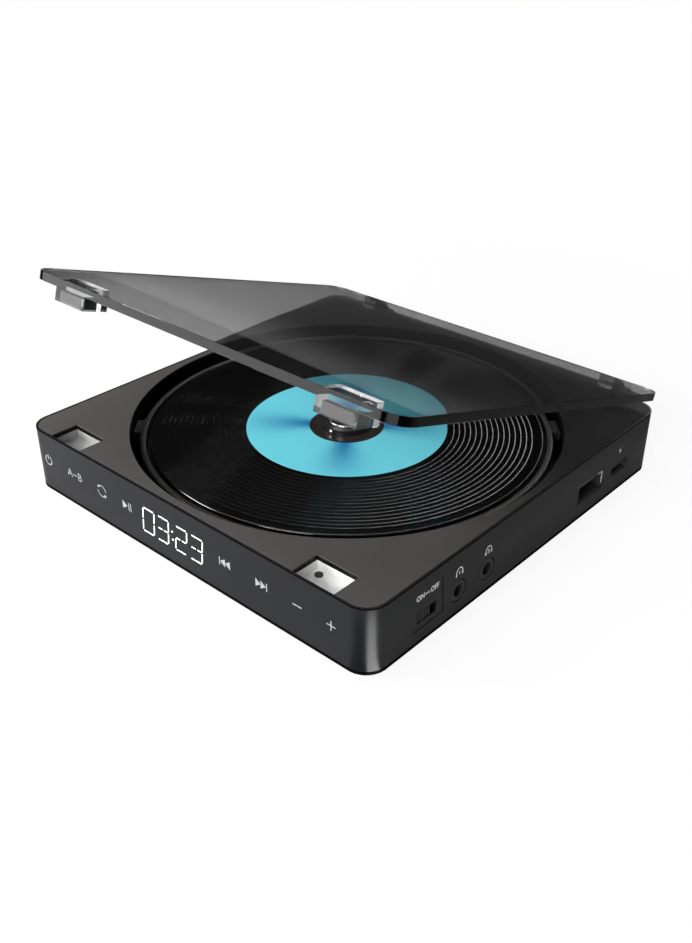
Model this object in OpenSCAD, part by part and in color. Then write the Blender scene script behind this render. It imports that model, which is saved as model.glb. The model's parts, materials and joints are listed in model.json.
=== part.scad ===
// Portable disc player with a flat square case and a clear flip-up lid.
// The disc axis is x = 0, y = 0 inside place(), the front face looks along -Y, and
// z = 0 is the surface that the player stands on. All sizes are millimetres.

/* [Disc] */
// Outer diameter of the disc
disc_d = 120; // [110:1:130]
// Thickness of the disc
disc_t = 1.2; // [1:0.1:1.5]
// Centre hole of the disc
disc_hole_d = 15; // [14:0.5:16]
// Outer diameter of the printed label
label_d = 61.8; // [50:0.2:90]
// Inner diameter of the printed label
label_hole_d = 23; // [20:0.5:30]
// Depth of the disc's top face below the deck
disc_sink = 3; // [2.5:0.1:4]

/* [Disc well] */
// Gap between the disc's edge and the tray rim
disc_gap = 1.2; // [0.8:0.1:2]
// Width of the tray rim
tray_wall = 1.6; // [1.2:0.1:2.4]
// Gap between the floating tray and the deck
moat = 2.9; // [1.8:0.1:4]
// Free height under the disc
disc_float = 1.8; // [1.2:0.1:2]
// Thickness of the tray floor
tray_floor_t = 1.2; // [1:0.1:1.8]
// Height of the disc's top face above the tray rim
rim_step = 0.3; // [0:0.1:0.8]
// Wall thickness of the skirt under the deck's round opening
skirt_t = 0.8; // [0.6:0.1:1]
// Depth of the skirt under the deck
skirt_h = 3.4; // [1:0.2:3.6]
// Length of each locating tab round the tray rim
tab_w = 7.8; // [4:0.2:12]

/* [Case] */
// Height of the case from its underside to the deck
case_h = 19.5; // [18.5:0.1:23]
// Wall thickness of the case
wall = 1.8; // [1.6:0.1:2.4]
// Outer corner radius of the case
corner_r = 6.5; // [5:0.5:9]
// Deck width between the well and each side face
side_margin = 2.8; // [2.8:0.1:8]
// Deck width between the well and the front face
front_margin = 2.8; // [2.8:0.1:8]
// Deck width between the well and the back face
back_margin = 3.8; // [3:0.1:9]
// Thickness of the rim that frames the deck plate
rim = 0.6; // [0.4:0.1:0.8]
// Thickness of the deck plate
deck_t = 1.6; // [1.2:0.1:2]
// Thickness of the bottom cover
cover_t = 1.6; // [1.3:0.1:2]
// Seam between the case and the plates set into it
seam = 0.15; // [0.1:0.05:0.3]
// Side of the square screw posts in the corners
post_w = 6.5; // [5.5:0.5:8]
// Height of the screw posts in the corners
post_h = 4.6; // [4:0.2:5.2]

/* [Feet] */
// Height of the feet under the case
foot_proud = 0.7; // [0.5:0.1:1.2]
// Radius of each foot
foot_r = 5; // [3:0.5:7]
// Depth of the recess that each foot is set into
foot_recess = 0.5; // [0.3:0.1:0.7]
// Distance of each foot's centre from the side and front faces
foot_inset = 17; // [13:1:24]

/* [Lid] */
// Thickness of the clear lid
lid_t = 2.5; // [2:0.1:3.5]
// Distance of the lid's side edges from the side faces
lid_side_inset = 0.4; // [0.2:0.1:1]
// Distance of the closed lid's front edge from the front face
lid_front_inset = 0.4; // [0.2:0.1:1]
// Distance of the closed lid's back edge from the back face
lid_back_inset = 1.7; // [1:0.1:2.5]
// Gap between the closed lid and the deck
lid_gap = 0.3; // [0.3:0.1:0.8]
// Angle at which the lid stands open at rest
lid_open = 18.1; // [0:0.1:60]
// Corner radius of the lid
lid_corner_r = 6.1; // [4:0.1:8]

/* [Lid magnets] */
// Distance of the magnet blocks from the middle
block_x = 50; // [30:0.5:51]
// Width of each magnet block
block_w = 13; // [11:0.5:14]
// Depth of each magnet block
block_d = 8.2; // [6.5:0.1:9]
// Height of each magnet block under the lid
block_h = 4; // [3.4:0.1:4.2]
// Distance of the blocks from the lid's front edge
block_inset = 0.6; // [0.5:0.1:2]
// Clearance round each block in its pocket
pocket_gap = 0.4; // [0.3:0.05:0.8]
// Width of each magnet
magnet_w = 9.6; // [6:0.2:10]
// Depth of each magnet
magnet_d = 4.2; // [3:0.2:5]
// Height of each magnet
magnet_h = 3; // [2:0.1:3]
// Sheet thickness of the steel strike cups
strike_t = 0.4; // [0.3:0.05:0.6]
// Width of the lips that hold the strike cups under the deck
strike_lip = 1.2; // [0.8:0.1:1.6]

/* [Hinge] */
// Distance of each hinge from the middle
hinge_x = 50; // [30:0.5:54]
// Distance of the hinge axis behind the back face
hinge_back = 5.6; // [4.6:0.1:8]
// Distance of the hinge axis below the deck
hinge_drop = 4.9; // [4:0.1:6]
// Radius of the hinge barrels
barrel_r = 2.4; // [2:0.1:3]
// Radius of the hinge pins
pin_r = 0.8; // [0.6:0.1:1.2]
// Width of each lid lug
lug_w = 5; // [4:0.5:10]
// Width of each hinge ear on the case
ear_w = 1.8; // [1.4:0.1:3]
// Side gap between a lug and its ears
lug_gap = 0.2; // [0.2:0.05:0.5]
// Thickness of the lug where it leaves the lid
lug_root = 1.6; // [1.2:0.1:3]
// Depth of the lug's front corner under the lid
lug_drop = 3.4; // [2.5:0.1:4]

/* [Headphone jacks] */
// Distance of the first jack from the front face
jack_1_y = 34.6; // [32:0.2:37]
// Distance of the second jack from the front face
jack_2_y = 47.2; // [44:0.2:48]
// Height of the jack axes above the surface
jack_z = 7.8; // [7.6:0.1:8.4]
// Radius of the jack bores, for a 3.5 mm plug
jack_bore_r = 1.8; // [1.76:0.01:1.85]
// Length of the jack bores
jack_bore_l = 13.5; // [10:0.5:14.5]
// Outer radius of the jack noses
jack_nose_r = 3.1; // [2.6:0.1:3.2]
// Length of the jack bodies behind the wall
jack_body_l = 13; // [12:0.5:15]

/* [USB ports] */
// Distance of the wide USB port from the front face
usb_a_y = 99.3; // [98.6:0.2:102]
// Height of the wide USB port's centre
usb_a_z = 8.9; // [8.6:0.1:9.5]
// Outer width of the wide USB shell
usb_a_w = 13.1; // [12:0.1:13.4]
// Outer height of the wide USB shell
usb_a_h = 5.7; // [5.2:0.1:6]
// Length of the wide USB shell
usb_a_l = 14; // [10:0.5:16]
// Distance of the small USB port from the front face
usb_c_y = 116; // [114:0.2:118]
// Height of the small USB port's centre
usb_c_z = 8.5; // [8:0.1:9]
// Outer width of the small USB shell
usb_c_w = 8.9; // [8.6:0.1:9.4]
// Outer height of the small USB shell
usb_c_h = 3.2; // [3:0.1:3.6]
// Length of the small USB shell
usb_c_l = 9; // [7:0.5:12]
// Sheet thickness of the USB shells
shell_t = 0.3; // [0.2:0.05:0.4]
// Clearance round the USB shells in the wall
port_gap = 0.3; // [0.2:0.05:0.5]

/* [Hold switch] */
// Distance of the switch slot's centre from the front face
switch_y = 21.7; // [20:0.1:24]
// Height of the switch slot's centre
switch_z = 8.5; // [8:0.1:9.5]
// Length of the switch slot
switch_slot_l = 7.5; // [6.5:0.1:9]
// Height of the switch slot
switch_slot_h = 3.3; // [2.8:0.1:4]
// Travel of the switch knob
switch_travel = 2; // [1:0.1:2.6]
// Clearance of the knob in its slot
knob_gap = 0.1; // [0.08:0.01:0.2]
// Number of grip ribs on the knob
knob_ribs = 5; // [3:1:7]

/* [Front panel electronics] */
// Height of the touch icons' centre line
icon_z = 10.9; // [10.5:0.1:11.2]
// Spacing of the touch icons beside the display
icon_pitch = 13.2; // [12:0.1:13.4]
// Distance from the middle to the first icon on the right
icon_right_x = 19.1; // [18.5:0.1:20]
// Distance from the middle to the first icon on the left
icon_left_x = 21.2; // [20.8:0.1:21.6]
// Middle of the clock display
display_x = -2; // [-2.5:0.1:-1.5]
// Width of the display module
display_w = 31; // [28:0.5:32]
// Height of the display module
display_h = 9.4; // [8.6:0.1:9.6]
// Thickness of the case wall in front of the icons
skin = 1; // [0.8:0.1:1.2]
// Thickness of the touch film
film_t = 0.2; // [0.1:0.05:0.3]
// Thickness of the light guide
guide_t = 0.8; // [0.6:0.1:1]
// Height of the light guide around the icons
guide_h = 5.8; // [5:0.2:6.2]
// Height of the icon lamps
lamp_t = 0.7; // [0.5:0.1:0.8]
// Thickness of the display board
display_board_t = 1; // [0.8:0.1:1.2]

/* [Mechanism] */
// Free height between the chassis plate and the tray
mech_space = 5.6; // [5.4:0.1:6]
// Thickness of the chassis plate
chassis_t = 1.2; // [1:0.1:1.4]
// Radius of the spindle motor
motor_r = 10.4; // [8:0.2:11]
// Radius of the spindle shaft
shaft_r = 1; // [0.8:0.1:1.2]
// Radius of the turntable under the disc
turntable_r = 10.9; // [9.5:0.1:11.4]
// Thickness of the turntable
turntable_t = 1.6; // [1.2:0.1:1.6]
// Height of the hub above the disc
hub_rise = 2.2; // [1.8:0.1:2.6]
// Radius of the catch balls
ball_r = 0.8; // [0.6:0.05:0.9]
// Travel of each catch ball
ball_travel = 0.6; // [0.4:0.05:0.7]
// Radius of the guide rods
rod_r = 1; // [0.8:0.1:1.2]
// Distance of each guide rod from the sled's middle line
rod_y = 12; // [11.6:0.1:12.6]
// Distance of the lens from the disc axis at rest
lens_rest = 38; // [30:1:50]
// Innermost lens position
lens_min = 24; // [23:0.5:28]
// Outermost lens position
lens_max = 55; // [50:0.5:55]
// Focus travel of the lens above its rest height
focus_up = 0.45; // [0.2:0.05:0.5]
// Focus travel of the lens below its rest height
focus_down = 0.25; // [0.1:0.05:0.25]
// Distance of the lead screw from the sled's middle line
screw_y = 19.5; // [19:0.1:19.8]
// Radius of the lead screw
screw_r = 1.25; // [1:0.05:1.3]
// Radius of the sled motor
sled_motor_r = 2.6; // [2:0.1:2.6]
// Length of the sled motor
sled_motor_l = 9; // [7:0.5:9.5]
// Running clearance of shafts and rods in their holes
running_gap = 0.05; // [0.03:0.01:0.08]
// Radius of the rubber dampers
damper_r = 3.4; // [3:0.1:3.6]

/* [Boards and battery] */
// Width of the main board
main_board_w = 50; // [46:1:52]
// Depth of the main board
main_board_d = 112; // [100:1:116]
// Thickness of the main board
main_board_t = 1; // [0.8:0.1:1.2]
// Height of the stand-offs under the main board
standoff_h = 1.7; // [1.4:0.1:1.7]
// Width of the battery
battery_w = 27; // [20:1:28]
// Length of the battery
battery_d = 80; // [60:1:90]
// Thickness of the battery
battery_t = 6; // [4:0.2:8]
// Radius of the small screws' threads
screw_thread_r = 1; // [0.8:0.05:1.1]
// Radius of the small screws' heads
screw_head_r = 2; // [1.8:0.1:2.2]
// Height of the small screws' heads
screw_head_h = 0.8; // [0.6:0.1:0.9]

/* [Hidden] */
$fn = 64;
// A cut runs this far past the face it opens
over = 1;
// Clearance of a screw thread in its hole
thread_gap = 0.03;

// Plan, measured from the disc axis
disc_r = disc_d / 2;
tray_in_r = disc_r + disc_gap;
tray_r = tray_in_r + tray_wall;
well_r = tray_r + moat;
half_w = well_r + side_margin;
front_y = -(well_r + front_margin);
back_y = well_r + back_margin;
case_w = 2 * half_w;
case_d = back_y - front_y;
mid_y = (front_y + back_y) / 2;
in_x = half_w - wall;
in_front = front_y + wall;
in_back = back_y - wall;
in_w = 2 * in_x;
in_d = in_back - in_front;
in_r = corner_r - wall;
ear_back_y = back_y + hinge_back + barrel_r;
frame_y = -(front_y + ear_back_y) / 2;

// Heights above the surface
case_z = foot_proud;
cover_top = case_z + cover_t;
deck_top = case_z + case_h;
deck_under = deck_top - deck_t;
disc_top = deck_top - disc_sink;
disc_under = disc_top - disc_t;
tray_top = disc_under - disc_float;
tray_under = tray_top - tray_floor_t;
rim_top = disc_top - rim_step;
chassis_top = tray_under - mech_space;
chassis_under = chassis_top - chassis_t;
board_under = cover_top + standoff_h;
board_top = board_under + main_board_t;

// Lid, in its closed place
lid_w = case_w - 2 * lid_side_inset;
lid_front = front_y + lid_front_inset;
lid_back = back_y - lid_back_inset;
lid_under = deck_top + lid_gap;
hinge_y = back_y + hinge_back;
hinge_z = deck_top - hinge_drop;
block_front = lid_front + block_inset;
block_back = block_front + block_d;
block_under = lid_under - block_h;
pocket_w = block_w + 2 * pocket_gap;
pocket_back = block_back + pocket_gap;
rim_in = front_y + rim;
strike_top = block_under - 0.5;
magnet_gap = 0.1;
magnet_y = block_front + magnet_d / 2 + 1;
notch_w = lug_w + 2 * lug_gap;
notch_front = lid_back - lug_root - 0.4;
notch_floor = hinge_z - 0.8;

// Front electronics, from the skin inwards
window_y = front_y + skin;
film_y = window_y + 0.05;
guide_y = film_y + film_t + 0.05;
board_y = guide_y + guide_t + lamp_t + 0.1;
window_half = in_x - in_r;
guide_half = window_half - 0.3;
board_half = window_half - 2;
icon_x = concat([for (i = [3:-1:0]) -icon_left_x - i * (icon_pitch - 0.4)],
                [for (i = [0:3]) icon_right_x + i * (icon_pitch - 0.7)]);
window_z0 = cover_top + 1.3;
window_z1 = deck_under - skirt_h - 0.1;
display_z1 = (window_z0 + window_z1 + display_h) / 2;
board_boss_z = window_z0 + 1.6;
board_boss_r = 1.2;
board_boss_x = [-board_half + 4, display_x + display_w / 2 + 6, board_half - 4];

// Mechanism
rod_z = chassis_top + 2.4;
sled_z0 = chassis_top + 1;
sled_z1 = tray_under - 0.4;
sled_in = 8.5;
sled_out = 6;
sled_half = rod_y + 3;
stop_in = lens_min - sled_in - 0.5;
stop_out = lens_max + sled_out + 0.5;
stop_t = 2;
stop_h = 4;
screw_z = rod_z + 0.3;
nut_half = 3;
bracket_x = lens_min - nut_half - 4;
bracket_t = 1.2;
motor_top = tray_under - 0.3;
hub_r = disc_hole_d / 2 - 0.15;
hub_top = disc_top + hub_rise;
hub_chamfer = 0.6;
ball_at = hub_r + 0.35 - ball_r;
ball_z = disc_top + 0.55;
ball_angles = [30, 150, 270];
lens_w = 7;
slot_half = lens_w / 2 + 2.7;
slot_in = lens_min - lens_w / 2 - 1.9;
slot_out = lens_max + lens_w / 2 + 1.9;
hub_hole_r = turntable_r + 0.9;

// Wings of the chassis plate, which carry the dampers and the tray posts
plate_x = [-32, stop_out + stop_t + 1];
plate_y = [-rod_y - 5, screw_y + 3.5];
wing_y = [-rod_y - 14, screw_y + 12.5];
wing_x = [[-32, -14], [22, 50]];
damper_spots = [for (x = [-27, 45.5], y = [wing_y[0] + 4.5, wing_y[1] - 4.5]) [x, y]];
tray_spots = [for (x = [-18.5, 27], y = [wing_y[0] + 4.5, wing_y[1] - 4.5]) [x, y]];
damper_neck_r = damper_r - 1;
damper_post_r = 1.6;
damper_flange_t = 1;
tray_post_r = 2.2;

// Main board, under the right half of the mechanism
board_x1 = in_x - 2.2;
board_x0 = board_x1 - main_board_w;
board_front = mid_y - main_board_d / 2;
board_back = mid_y + main_board_d / 2;
standoff_r = 2.2;
standoff_inset = 3.5;
standoff_spots = [for (x = [board_x0 + standoff_inset, board_x1 - 8],
                       y = [board_front + standoff_inset, board_back - standoff_inset])
                  [x, y]];
battery_x = -in_x + battery_w / 2 + 3.6;
battery_z = cover_top + 0.1;
cover_spots = [for (sx = [-1, 1], y = [in_front + post_w / 2, in_back - post_w / 2])
               [sx * (in_x - post_w / 2), y]];
foot_spots = [for (sx = [-1, 1], y = [front_y + foot_inset, back_y - foot_inset])
              [sx * (half_w - foot_inset), y]];
switch_x0 = in_x - 3.2;
knob_l = switch_slot_l - switch_travel - 2 * knob_gap;
knob_h = switch_slot_h - 2 * knob_gap;
knob_y = front_y + switch_y - switch_travel / 2;
knob_flange_t = 0.6;

// ---------- Shared shapes ----------

// Moves a piece from the disc axis to the middle of the whole footprint
module place() {
    translate([0, frame_y, 0]) children();
}

// Turns the lid's pieces from their closed place to the rest angle
module lid_pose() {
    translate([0, hinge_y, hinge_z])
        rotate([-lid_open, 0, 0])
            translate([0, -hinge_y, -hinge_z]) children();
}

module rounded_rect(w, d, r) {
    square([w - 2 * r, d], center = true);
    square([w, d - 2 * r], center = true);
    for (sx = [-1, 1], sy = [-1, 1])
        translate([sx * (w / 2 - r), sy * (d / 2 - r)]) circle(r);
}

// A rounded plate between two heights, centred on the case
module slab(w, d, r, z0, z1) {
    translate([0, mid_y, z0]) linear_extrude(z1 - z0) rounded_rect(w, d, r);
}

module box(low, high) {
    translate(low) cube(high - low);
}

module disc_ring(outer, inner, z0, z1) {
    difference() {
        translate([0, 0, z0]) cylinder(r = outer, h = z1 - z0);
        translate([0, 0, z0 - over]) cylinder(r = inner, h = z1 - z0 + 2 * over);
    }
}

// A cylinder along X from x0 to x1
module bar_x(x0, x1, y, z, r) {
    translate([x0, y, z]) rotate([0, 90, 0]) cylinder(r = r, h = x1 - x0);
}

// A cylinder along Y from y0 to y1
module bar_y(x, y0, y1, z, r) {
    translate([x, y1, z]) rotate([90, 0, 0]) cylinder(r = r, h = y1 - y0);
}

// A screw that points up, with its head's underside at z
module screw_up(x, y, z, length) {
    translate([x, y, z - screw_head_h]) cylinder(r = screw_head_r, h = screw_head_h);
    translate([x, y, z]) cylinder(r = screw_thread_r, h = length);
}

// A screw that points down, with its head's underside at z
module screw_down(x, y, z, length) {
    translate([x, y, z]) cylinder(r = screw_head_r, h = screw_head_h);
    translate([x, y, z - length]) cylinder(r = screw_thread_r, h = length);
}

// ---------- Case ----------

// The slots in the back edge that the lid's lugs turn in
module hinge_notches() {
    for (s = [-1, 1])
        box([s * hinge_x - notch_w / 2, notch_front, notch_floor],
            [s * hinge_x + notch_w / 2, back_y + over, deck_top + over]);
}

module hinge_ears() {
    for (s = [-1, 1], e = [-1, 1]) {
        x = s * hinge_x + e * (notch_w + ear_w) / 2;
        box([x - ear_w / 2, in_back + wall / 2, hinge_z - barrel_r],
            [x + ear_w / 2, hinge_y, hinge_z + barrel_r]);
        bar_x(x - ear_w / 2, x + ear_w / 2, hinge_y, hinge_z, barrel_r);
    }
}

module corner_posts() {
    intersection() {
        slab(case_w - wall, case_d - wall, corner_r - wall / 2, cover_top,
             cover_top + post_h);
        for (sx = [-1, 1], sy = [-1, 1])
            translate([sx * (in_x - post_w / 2 + wall / 2),
                       mid_y + sy * (in_d / 2 - post_w / 2 + wall / 2), cover_top])
                translate([0, 0, post_h / 2])
                    cube([post_w + wall, post_w + wall, post_h + 2], center = true);
    }
}

module port_cuts() {
    for (y = [jack_1_y, jack_2_y])
        bar_x(in_x - over, half_w + over, front_y + y, jack_z, jack_nose_r + seam);
    box([in_x - over, front_y + usb_a_y - usb_a_w / 2 - port_gap,
         usb_a_z - usb_a_h / 2 - port_gap],
        [half_w + over, front_y + usb_a_y + usb_a_w / 2 + port_gap,
         usb_a_z + usb_a_h / 2 + port_gap]);
    usb_c_profile(usb_c_w + 2 * port_gap, usb_c_h + 2 * port_gap,
                  in_x - over, half_w + over);
    box([in_x - over, front_y + switch_y - switch_slot_l / 2,
         switch_z - switch_slot_h / 2],
        [half_w + over, front_y + switch_y + switch_slot_l / 2,
         switch_z + switch_slot_h / 2]);
}

module case_shell() {
    color("dimgray") place() difference() {
        union() {
            difference() {
                slab(case_w, case_d, corner_r, case_z, deck_top);
                slab(in_w, in_d, in_r, case_z - over, deck_top + over);
                slab(case_w - 2 * rim, case_d - 2 * rim, corner_r - rim, deck_under,
                     deck_top + over);
                box([-window_half, window_y, window_z0],
                    [window_half, in_front + over, window_z1]);
            }
            corner_posts();
            hinge_ears();
            for (x = board_boss_x)
                bar_y(x, window_y - skin / 2, board_y, board_boss_z, board_boss_r);
        }
        port_cuts();
        hinge_notches();
        for (s = [-1, 1]) {
            box([s * block_x - pocket_w / 2 - strike_t - 0.3, rim_in, strike_top - 0.6],
                [s * block_x + pocket_w / 2 + strike_t + 0.3, in_front + over,
                 deck_under + 0.1]);
            bar_x(s * hinge_x - notch_w / 2 - ear_w - over,
                  s * hinge_x + notch_w / 2 + ear_w + over,
                  hinge_y, hinge_z, pin_r + thread_gap);
        }
        for (p = cover_spots)
            translate([p[0], p[1], cover_top - over])
                cylinder(r = screw_thread_r + thread_gap, h = post_h + 0.2);
        for (x = board_boss_x)
            bar_y(x, window_y + 0.3, board_y + over, board_boss_z, 0.55 + thread_gap);
    }
}

module hinge_pins() {
    color("silver") place() for (s = [-1, 1])
        bar_x(s * hinge_x - notch_w / 2 - ear_w, s * hinge_x + notch_w / 2 + ear_w,
              hinge_y, hinge_z, pin_r);
}

module deck_plate() {
    edge = rim + seam;
    color("gray") place() difference() {
        union() {
            slab(case_w - 2 * edge, case_d - 2 * edge, corner_r - edge, deck_under,
                 deck_top);
            translate([0, 0, deck_under - skirt_h])
                cylinder(r = well_r + skirt_t, h = skirt_h + deck_t / 2);
        }
        translate([0, 0, deck_under - skirt_h - over])
            cylinder(r = well_r, h = deck_top + 2 * over);
        for (s = [-1, 1])
            box([s * block_x - pocket_w / 2, front_y, deck_under - over],
                [s * block_x + pocket_w / 2, pocket_back, deck_top + over]);
        hinge_notches();
    }
}

module bottom_cover() {
    color("dimgray") place() difference() {
        union() {
            slab(in_w - 2 * seam, in_d - 2 * seam, in_r - seam, case_z, cover_top);
            for (p = damper_spots) {
                translate([p[0], p[1], cover_top - cover_t / 2])
                    cylinder(r = damper_neck_r, h = chassis_under - damper_flange_t
                             - cover_top + cover_t / 2);
                translate([p[0], p[1], cover_top])
                    cylinder(r = damper_post_r, h = chassis_top + damper_flange_t
                             - cover_top);
            }
            for (p = standoff_spots)
                translate([p[0], p[1], cover_top - cover_t / 2])
                    cylinder(r = standoff_r, h = standoff_h + cover_t / 2);
            for (s = [-1, 1])
                box([battery_x + s * (battery_w / 2 + 1) - 0.6, -battery_d / 4,
                     cover_top - cover_t / 2],
                    [battery_x + s * (battery_w / 2 + 1) + 0.6, battery_d / 4,
                     cover_top + battery_t / 2]);
        }
        for (p = cover_spots) {
            translate([p[0], p[1], case_z - over])
                cylinder(r = screw_thread_r + 0.3, h = cover_t + 2 * over);
            translate([p[0], p[1], case_z - over])
                cylinder(r = screw_head_r + 0.2, h = screw_head_h + 0.1 + over);
        }
        for (p = foot_spots)
            translate([p[0], p[1], case_z - over])
                cylinder(r = foot_r + 0.1, h = foot_recess + over);
        for (p = damper_spots)
            translate([p[0], p[1], chassis_under - 2])
                cylinder(r = screw_thread_r + thread_gap, h = mech_space + 4);
        for (p = standoff_spots)
            translate([p[0], p[1], cover_top - 0.4])
                cylinder(r = screw_thread_r + thread_gap, h = standoff_h + over);
    }
}

module cover_screws() {
    color("dimgray") place() for (p = cover_spots)
        screw_up(p[0], p[1], case_z + screw_head_h + 0.1,
                 cover_t - screw_head_h + post_h - 1.4);
}

module feet() {
    color("black") place() for (p = foot_spots)
        translate([p[0], p[1], 0]) cylinder(r = foot_r, h = foot_proud + foot_recess);
}

// ---------- Lid catch ----------

// A bent steel cup under a deck pocket, open towards the front rim
module strike_cup(s, sensor) {
    out_w = pocket_w + 0.1 + 2 * strike_t;
    floor_z = strike_top - strike_t;
    difference() {
        union() {
            box([s * block_x - out_w / 2, rim_in + 0.05, floor_z],
                [s * block_x + out_w / 2, pocket_back + strike_t, deck_under]);
            box([s * block_x - out_w / 2 - strike_lip, in_front + 0.2,
                 deck_under - strike_t],
                [s * block_x + out_w / 2 + strike_lip, pocket_back + strike_t + strike_lip,
                 deck_under]);
        }
        box([s * block_x - pocket_w / 2 - 0.05, front_y, strike_top],
            [s * block_x + pocket_w / 2 + 0.05, pocket_back + 0.05, deck_under + over]);
        if (sensor)
            translate([sensor_x, sensor_y, floor_z - over])
                cylinder(r = sensor_r + 0.05, h = strike_t + 2 * over);
    }
}

sensor_r = 1.1;
sensor_x = block_x - block_w / 2 + 1.8;
sensor_y = pocket_back - 1.8;

module strike_cup_left() {
    color("silver") place() strike_cup(-1, false);
}

module strike_cup_right() {
    color("silver") place() strike_cup(1, true);
}

// A magnet sensor that looks up through the right cup's floor
module lid_sensor() {
    color("black") place() translate([sensor_x, sensor_y, 0]) {
        translate([0, 0, strike_top - strike_t - 2])
            cylinder(r = sensor_r, h = strike_t + 2.3);
        translate([0, 0, strike_top - strike_t - 2])
            cylinder(r = sensor_r + 0.6, h = 2);
    }
}

// ---------- Lid ----------

module lug_profile() {
    polygon([[lid_back - lug_root, lid_under + lid_t / 2],
             [lid_back - lug_root, lid_under - lug_drop],
             [hinge_y - 0.8 * barrel_r, hinge_z - 0.6 * barrel_r],
             [hinge_y + 0.6 * barrel_r, hinge_z + 0.8 * barrel_r],
             [lid_back, lid_under + lid_t]]);
}

module lid_panel() {
    color([0.3, 0.3, 0.32, 0.5]) place() lid_pose() difference() {
        union() {
            translate([0, (lid_front + lid_back) / 2, lid_under])
                linear_extrude(lid_t)
                    rounded_rect(lid_w, lid_back - lid_front, lid_corner_r);
            for (s = [-1, 1]) {
                box([s * block_x - block_w / 2, block_front, block_under],
                    [s * block_x + block_w / 2, block_back, lid_under + lid_t / 2]);
                translate([s * hinge_x - lug_w / 2, 0, 0])
                    rotate([90, 0, 90]) linear_extrude(lug_w) lug_profile();
                bar_x(s * hinge_x - lug_w / 2, s * hinge_x + lug_w / 2,
                      hinge_y, hinge_z, barrel_r);
            }
        }
        for (s = [-1, 1]) {
            magnet_space(s, magnet_gap, over);
            bar_x(s * hinge_x - lug_w, s * hinge_x + lug_w, hinge_y, hinge_z,
                  pin_r + running_gap);
        }
    }
}

// The magnet's own box, grown at its sides by gap and downwards by drop
module magnet_space(s, gap, drop) {
    top = block_under + magnet_h + 0.2;
    box([s * block_x - magnet_w / 2 - gap, magnet_y - magnet_d / 2 - gap,
         top - magnet_h - drop],
        [s * block_x + magnet_w / 2 + gap, magnet_y + magnet_d / 2 + gap, top]);
}

module lid_magnets() {
    color("silver") place() lid_pose() for (s = [-1, 1]) magnet_space(s, 0, 0);
}

// ---------- Disc drive ----------

module disc_tray() {
    color([0.08, 0.08, 0.08]) place() difference() {
        union() {
            disc_ring(tray_r, tray_in_r, tray_under, rim_top);
            translate([0, 0, tray_under])
                cylinder(r = tray_in_r + tray_wall / 2, h = tray_floor_t);
            for (a = [42, 132, 222])
                rotate(a) box([tray_r - tray_wall / 2, -tab_w / 2, tray_top],
                              [tray_r + moat - 0.5, tab_w / 2, rim_top - 0.4]);
            for (p = tray_spots)
                translate([p[0], p[1], chassis_top])
                    cylinder(r = tray_post_r, h = mech_space + tray_floor_t / 2);
        }
        translate([0, 0, tray_under - over])
            cylinder(r = hub_hole_r, h = tray_floor_t + 2 * over);
        box([slot_in, -slot_half, tray_under - over],
            [slot_out, slot_half, tray_top + over]);
        for (p = tray_spots)
            translate([p[0], p[1], chassis_top - over])
                cylinder(r = screw_thread_r + thread_gap, h = mech_space);
    }
}

module tray_screws() {
    color("silver") place() for (p = tray_spots)
        screw_up(p[0], p[1], chassis_under, chassis_t + mech_space - 2);
}

// An upright wall of the chassis that holds the rods' ends
module rod_stop(x) {
    for (s = [-1, 1])
        box([x - stop_t / 2, s * rod_y - 2.5, chassis_top - chassis_t / 2],
            [x + stop_t / 2, s * rod_y + 2.5, chassis_top + stop_h]);
}

module mech_chassis() {
    color("lightgray") place() difference() {
        union() {
            translate([0, 0, chassis_under]) linear_extrude(chassis_t) {
                translate([plate_x[0], plate_y[0]])
                    square([plate_x[1] - plate_x[0], plate_y[1] - plate_y[0]]);
                for (w = wing_x)
                    translate([w[0], wing_y[0]])
                        square([w[1] - w[0], wing_y[1] - wing_y[0]]);
            }
            rod_stop(stop_in - stop_t / 2);
            rod_stop(stop_out + stop_t / 2);
            for (x = [bracket_x, stop_out])
                box([x, screw_y - 3, chassis_top - chassis_t / 2],
                    [x + (x == bracket_x ? bracket_t : stop_t), screw_y + 3,
                     screw_z + 2.4]);
        }
        for (s = [-1, 1])
            bar_x(plate_x[0], plate_x[1] + over, s * rod_y, rod_z, rod_r + 0.02);
        bar_x(bracket_x - over, bracket_x + bracket_t + over, screw_y, screw_z,
              screw_r + 0.2);
        bar_x(stop_out - over, stop_out + stop_t + over, screw_y, screw_z,
              screw_r - 0.35 + running_gap);
        for (p = damper_spots)
            translate([p[0], p[1], chassis_under - over])
                cylinder(r = damper_neck_r + running_gap, h = chassis_t + 2 * over);
        for (p = tray_spots)
            translate([p[0], p[1], chassis_under - over])
                cylinder(r = screw_thread_r + 0.2, h = chassis_t + 2 * over);
        translate([0, 0, chassis_under - over])
            cylinder(r = shaft_r + 1, h = chassis_t + 2 * over);
    }
}

module dampers() {
    color("black") place() for (p = damper_spots) translate([p[0], p[1], 0])
        difference() {
            union() {
                translate([0, 0, chassis_under - damper_flange_t])
                    cylinder(r = damper_r, h = damper_flange_t);
                translate([0, 0, chassis_under - damper_flange_t])
                    cylinder(r = damper_neck_r,
                             h = chassis_t + 2 * damper_flange_t);
                translate([0, 0, chassis_top])
                    cylinder(r = damper_r, h = damper_flange_t);
            }
            translate([0, 0, chassis_under - damper_flange_t - over])
                cylinder(r = damper_post_r + 0.05,
                         h = chassis_t + 2 * damper_flange_t + 2 * over);
        }
}

module damper_screws() {
    color("silver") place() for (p = damper_spots)
        screw_down(p[0], p[1], chassis_top + damper_flange_t, 3.2);
}

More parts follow.
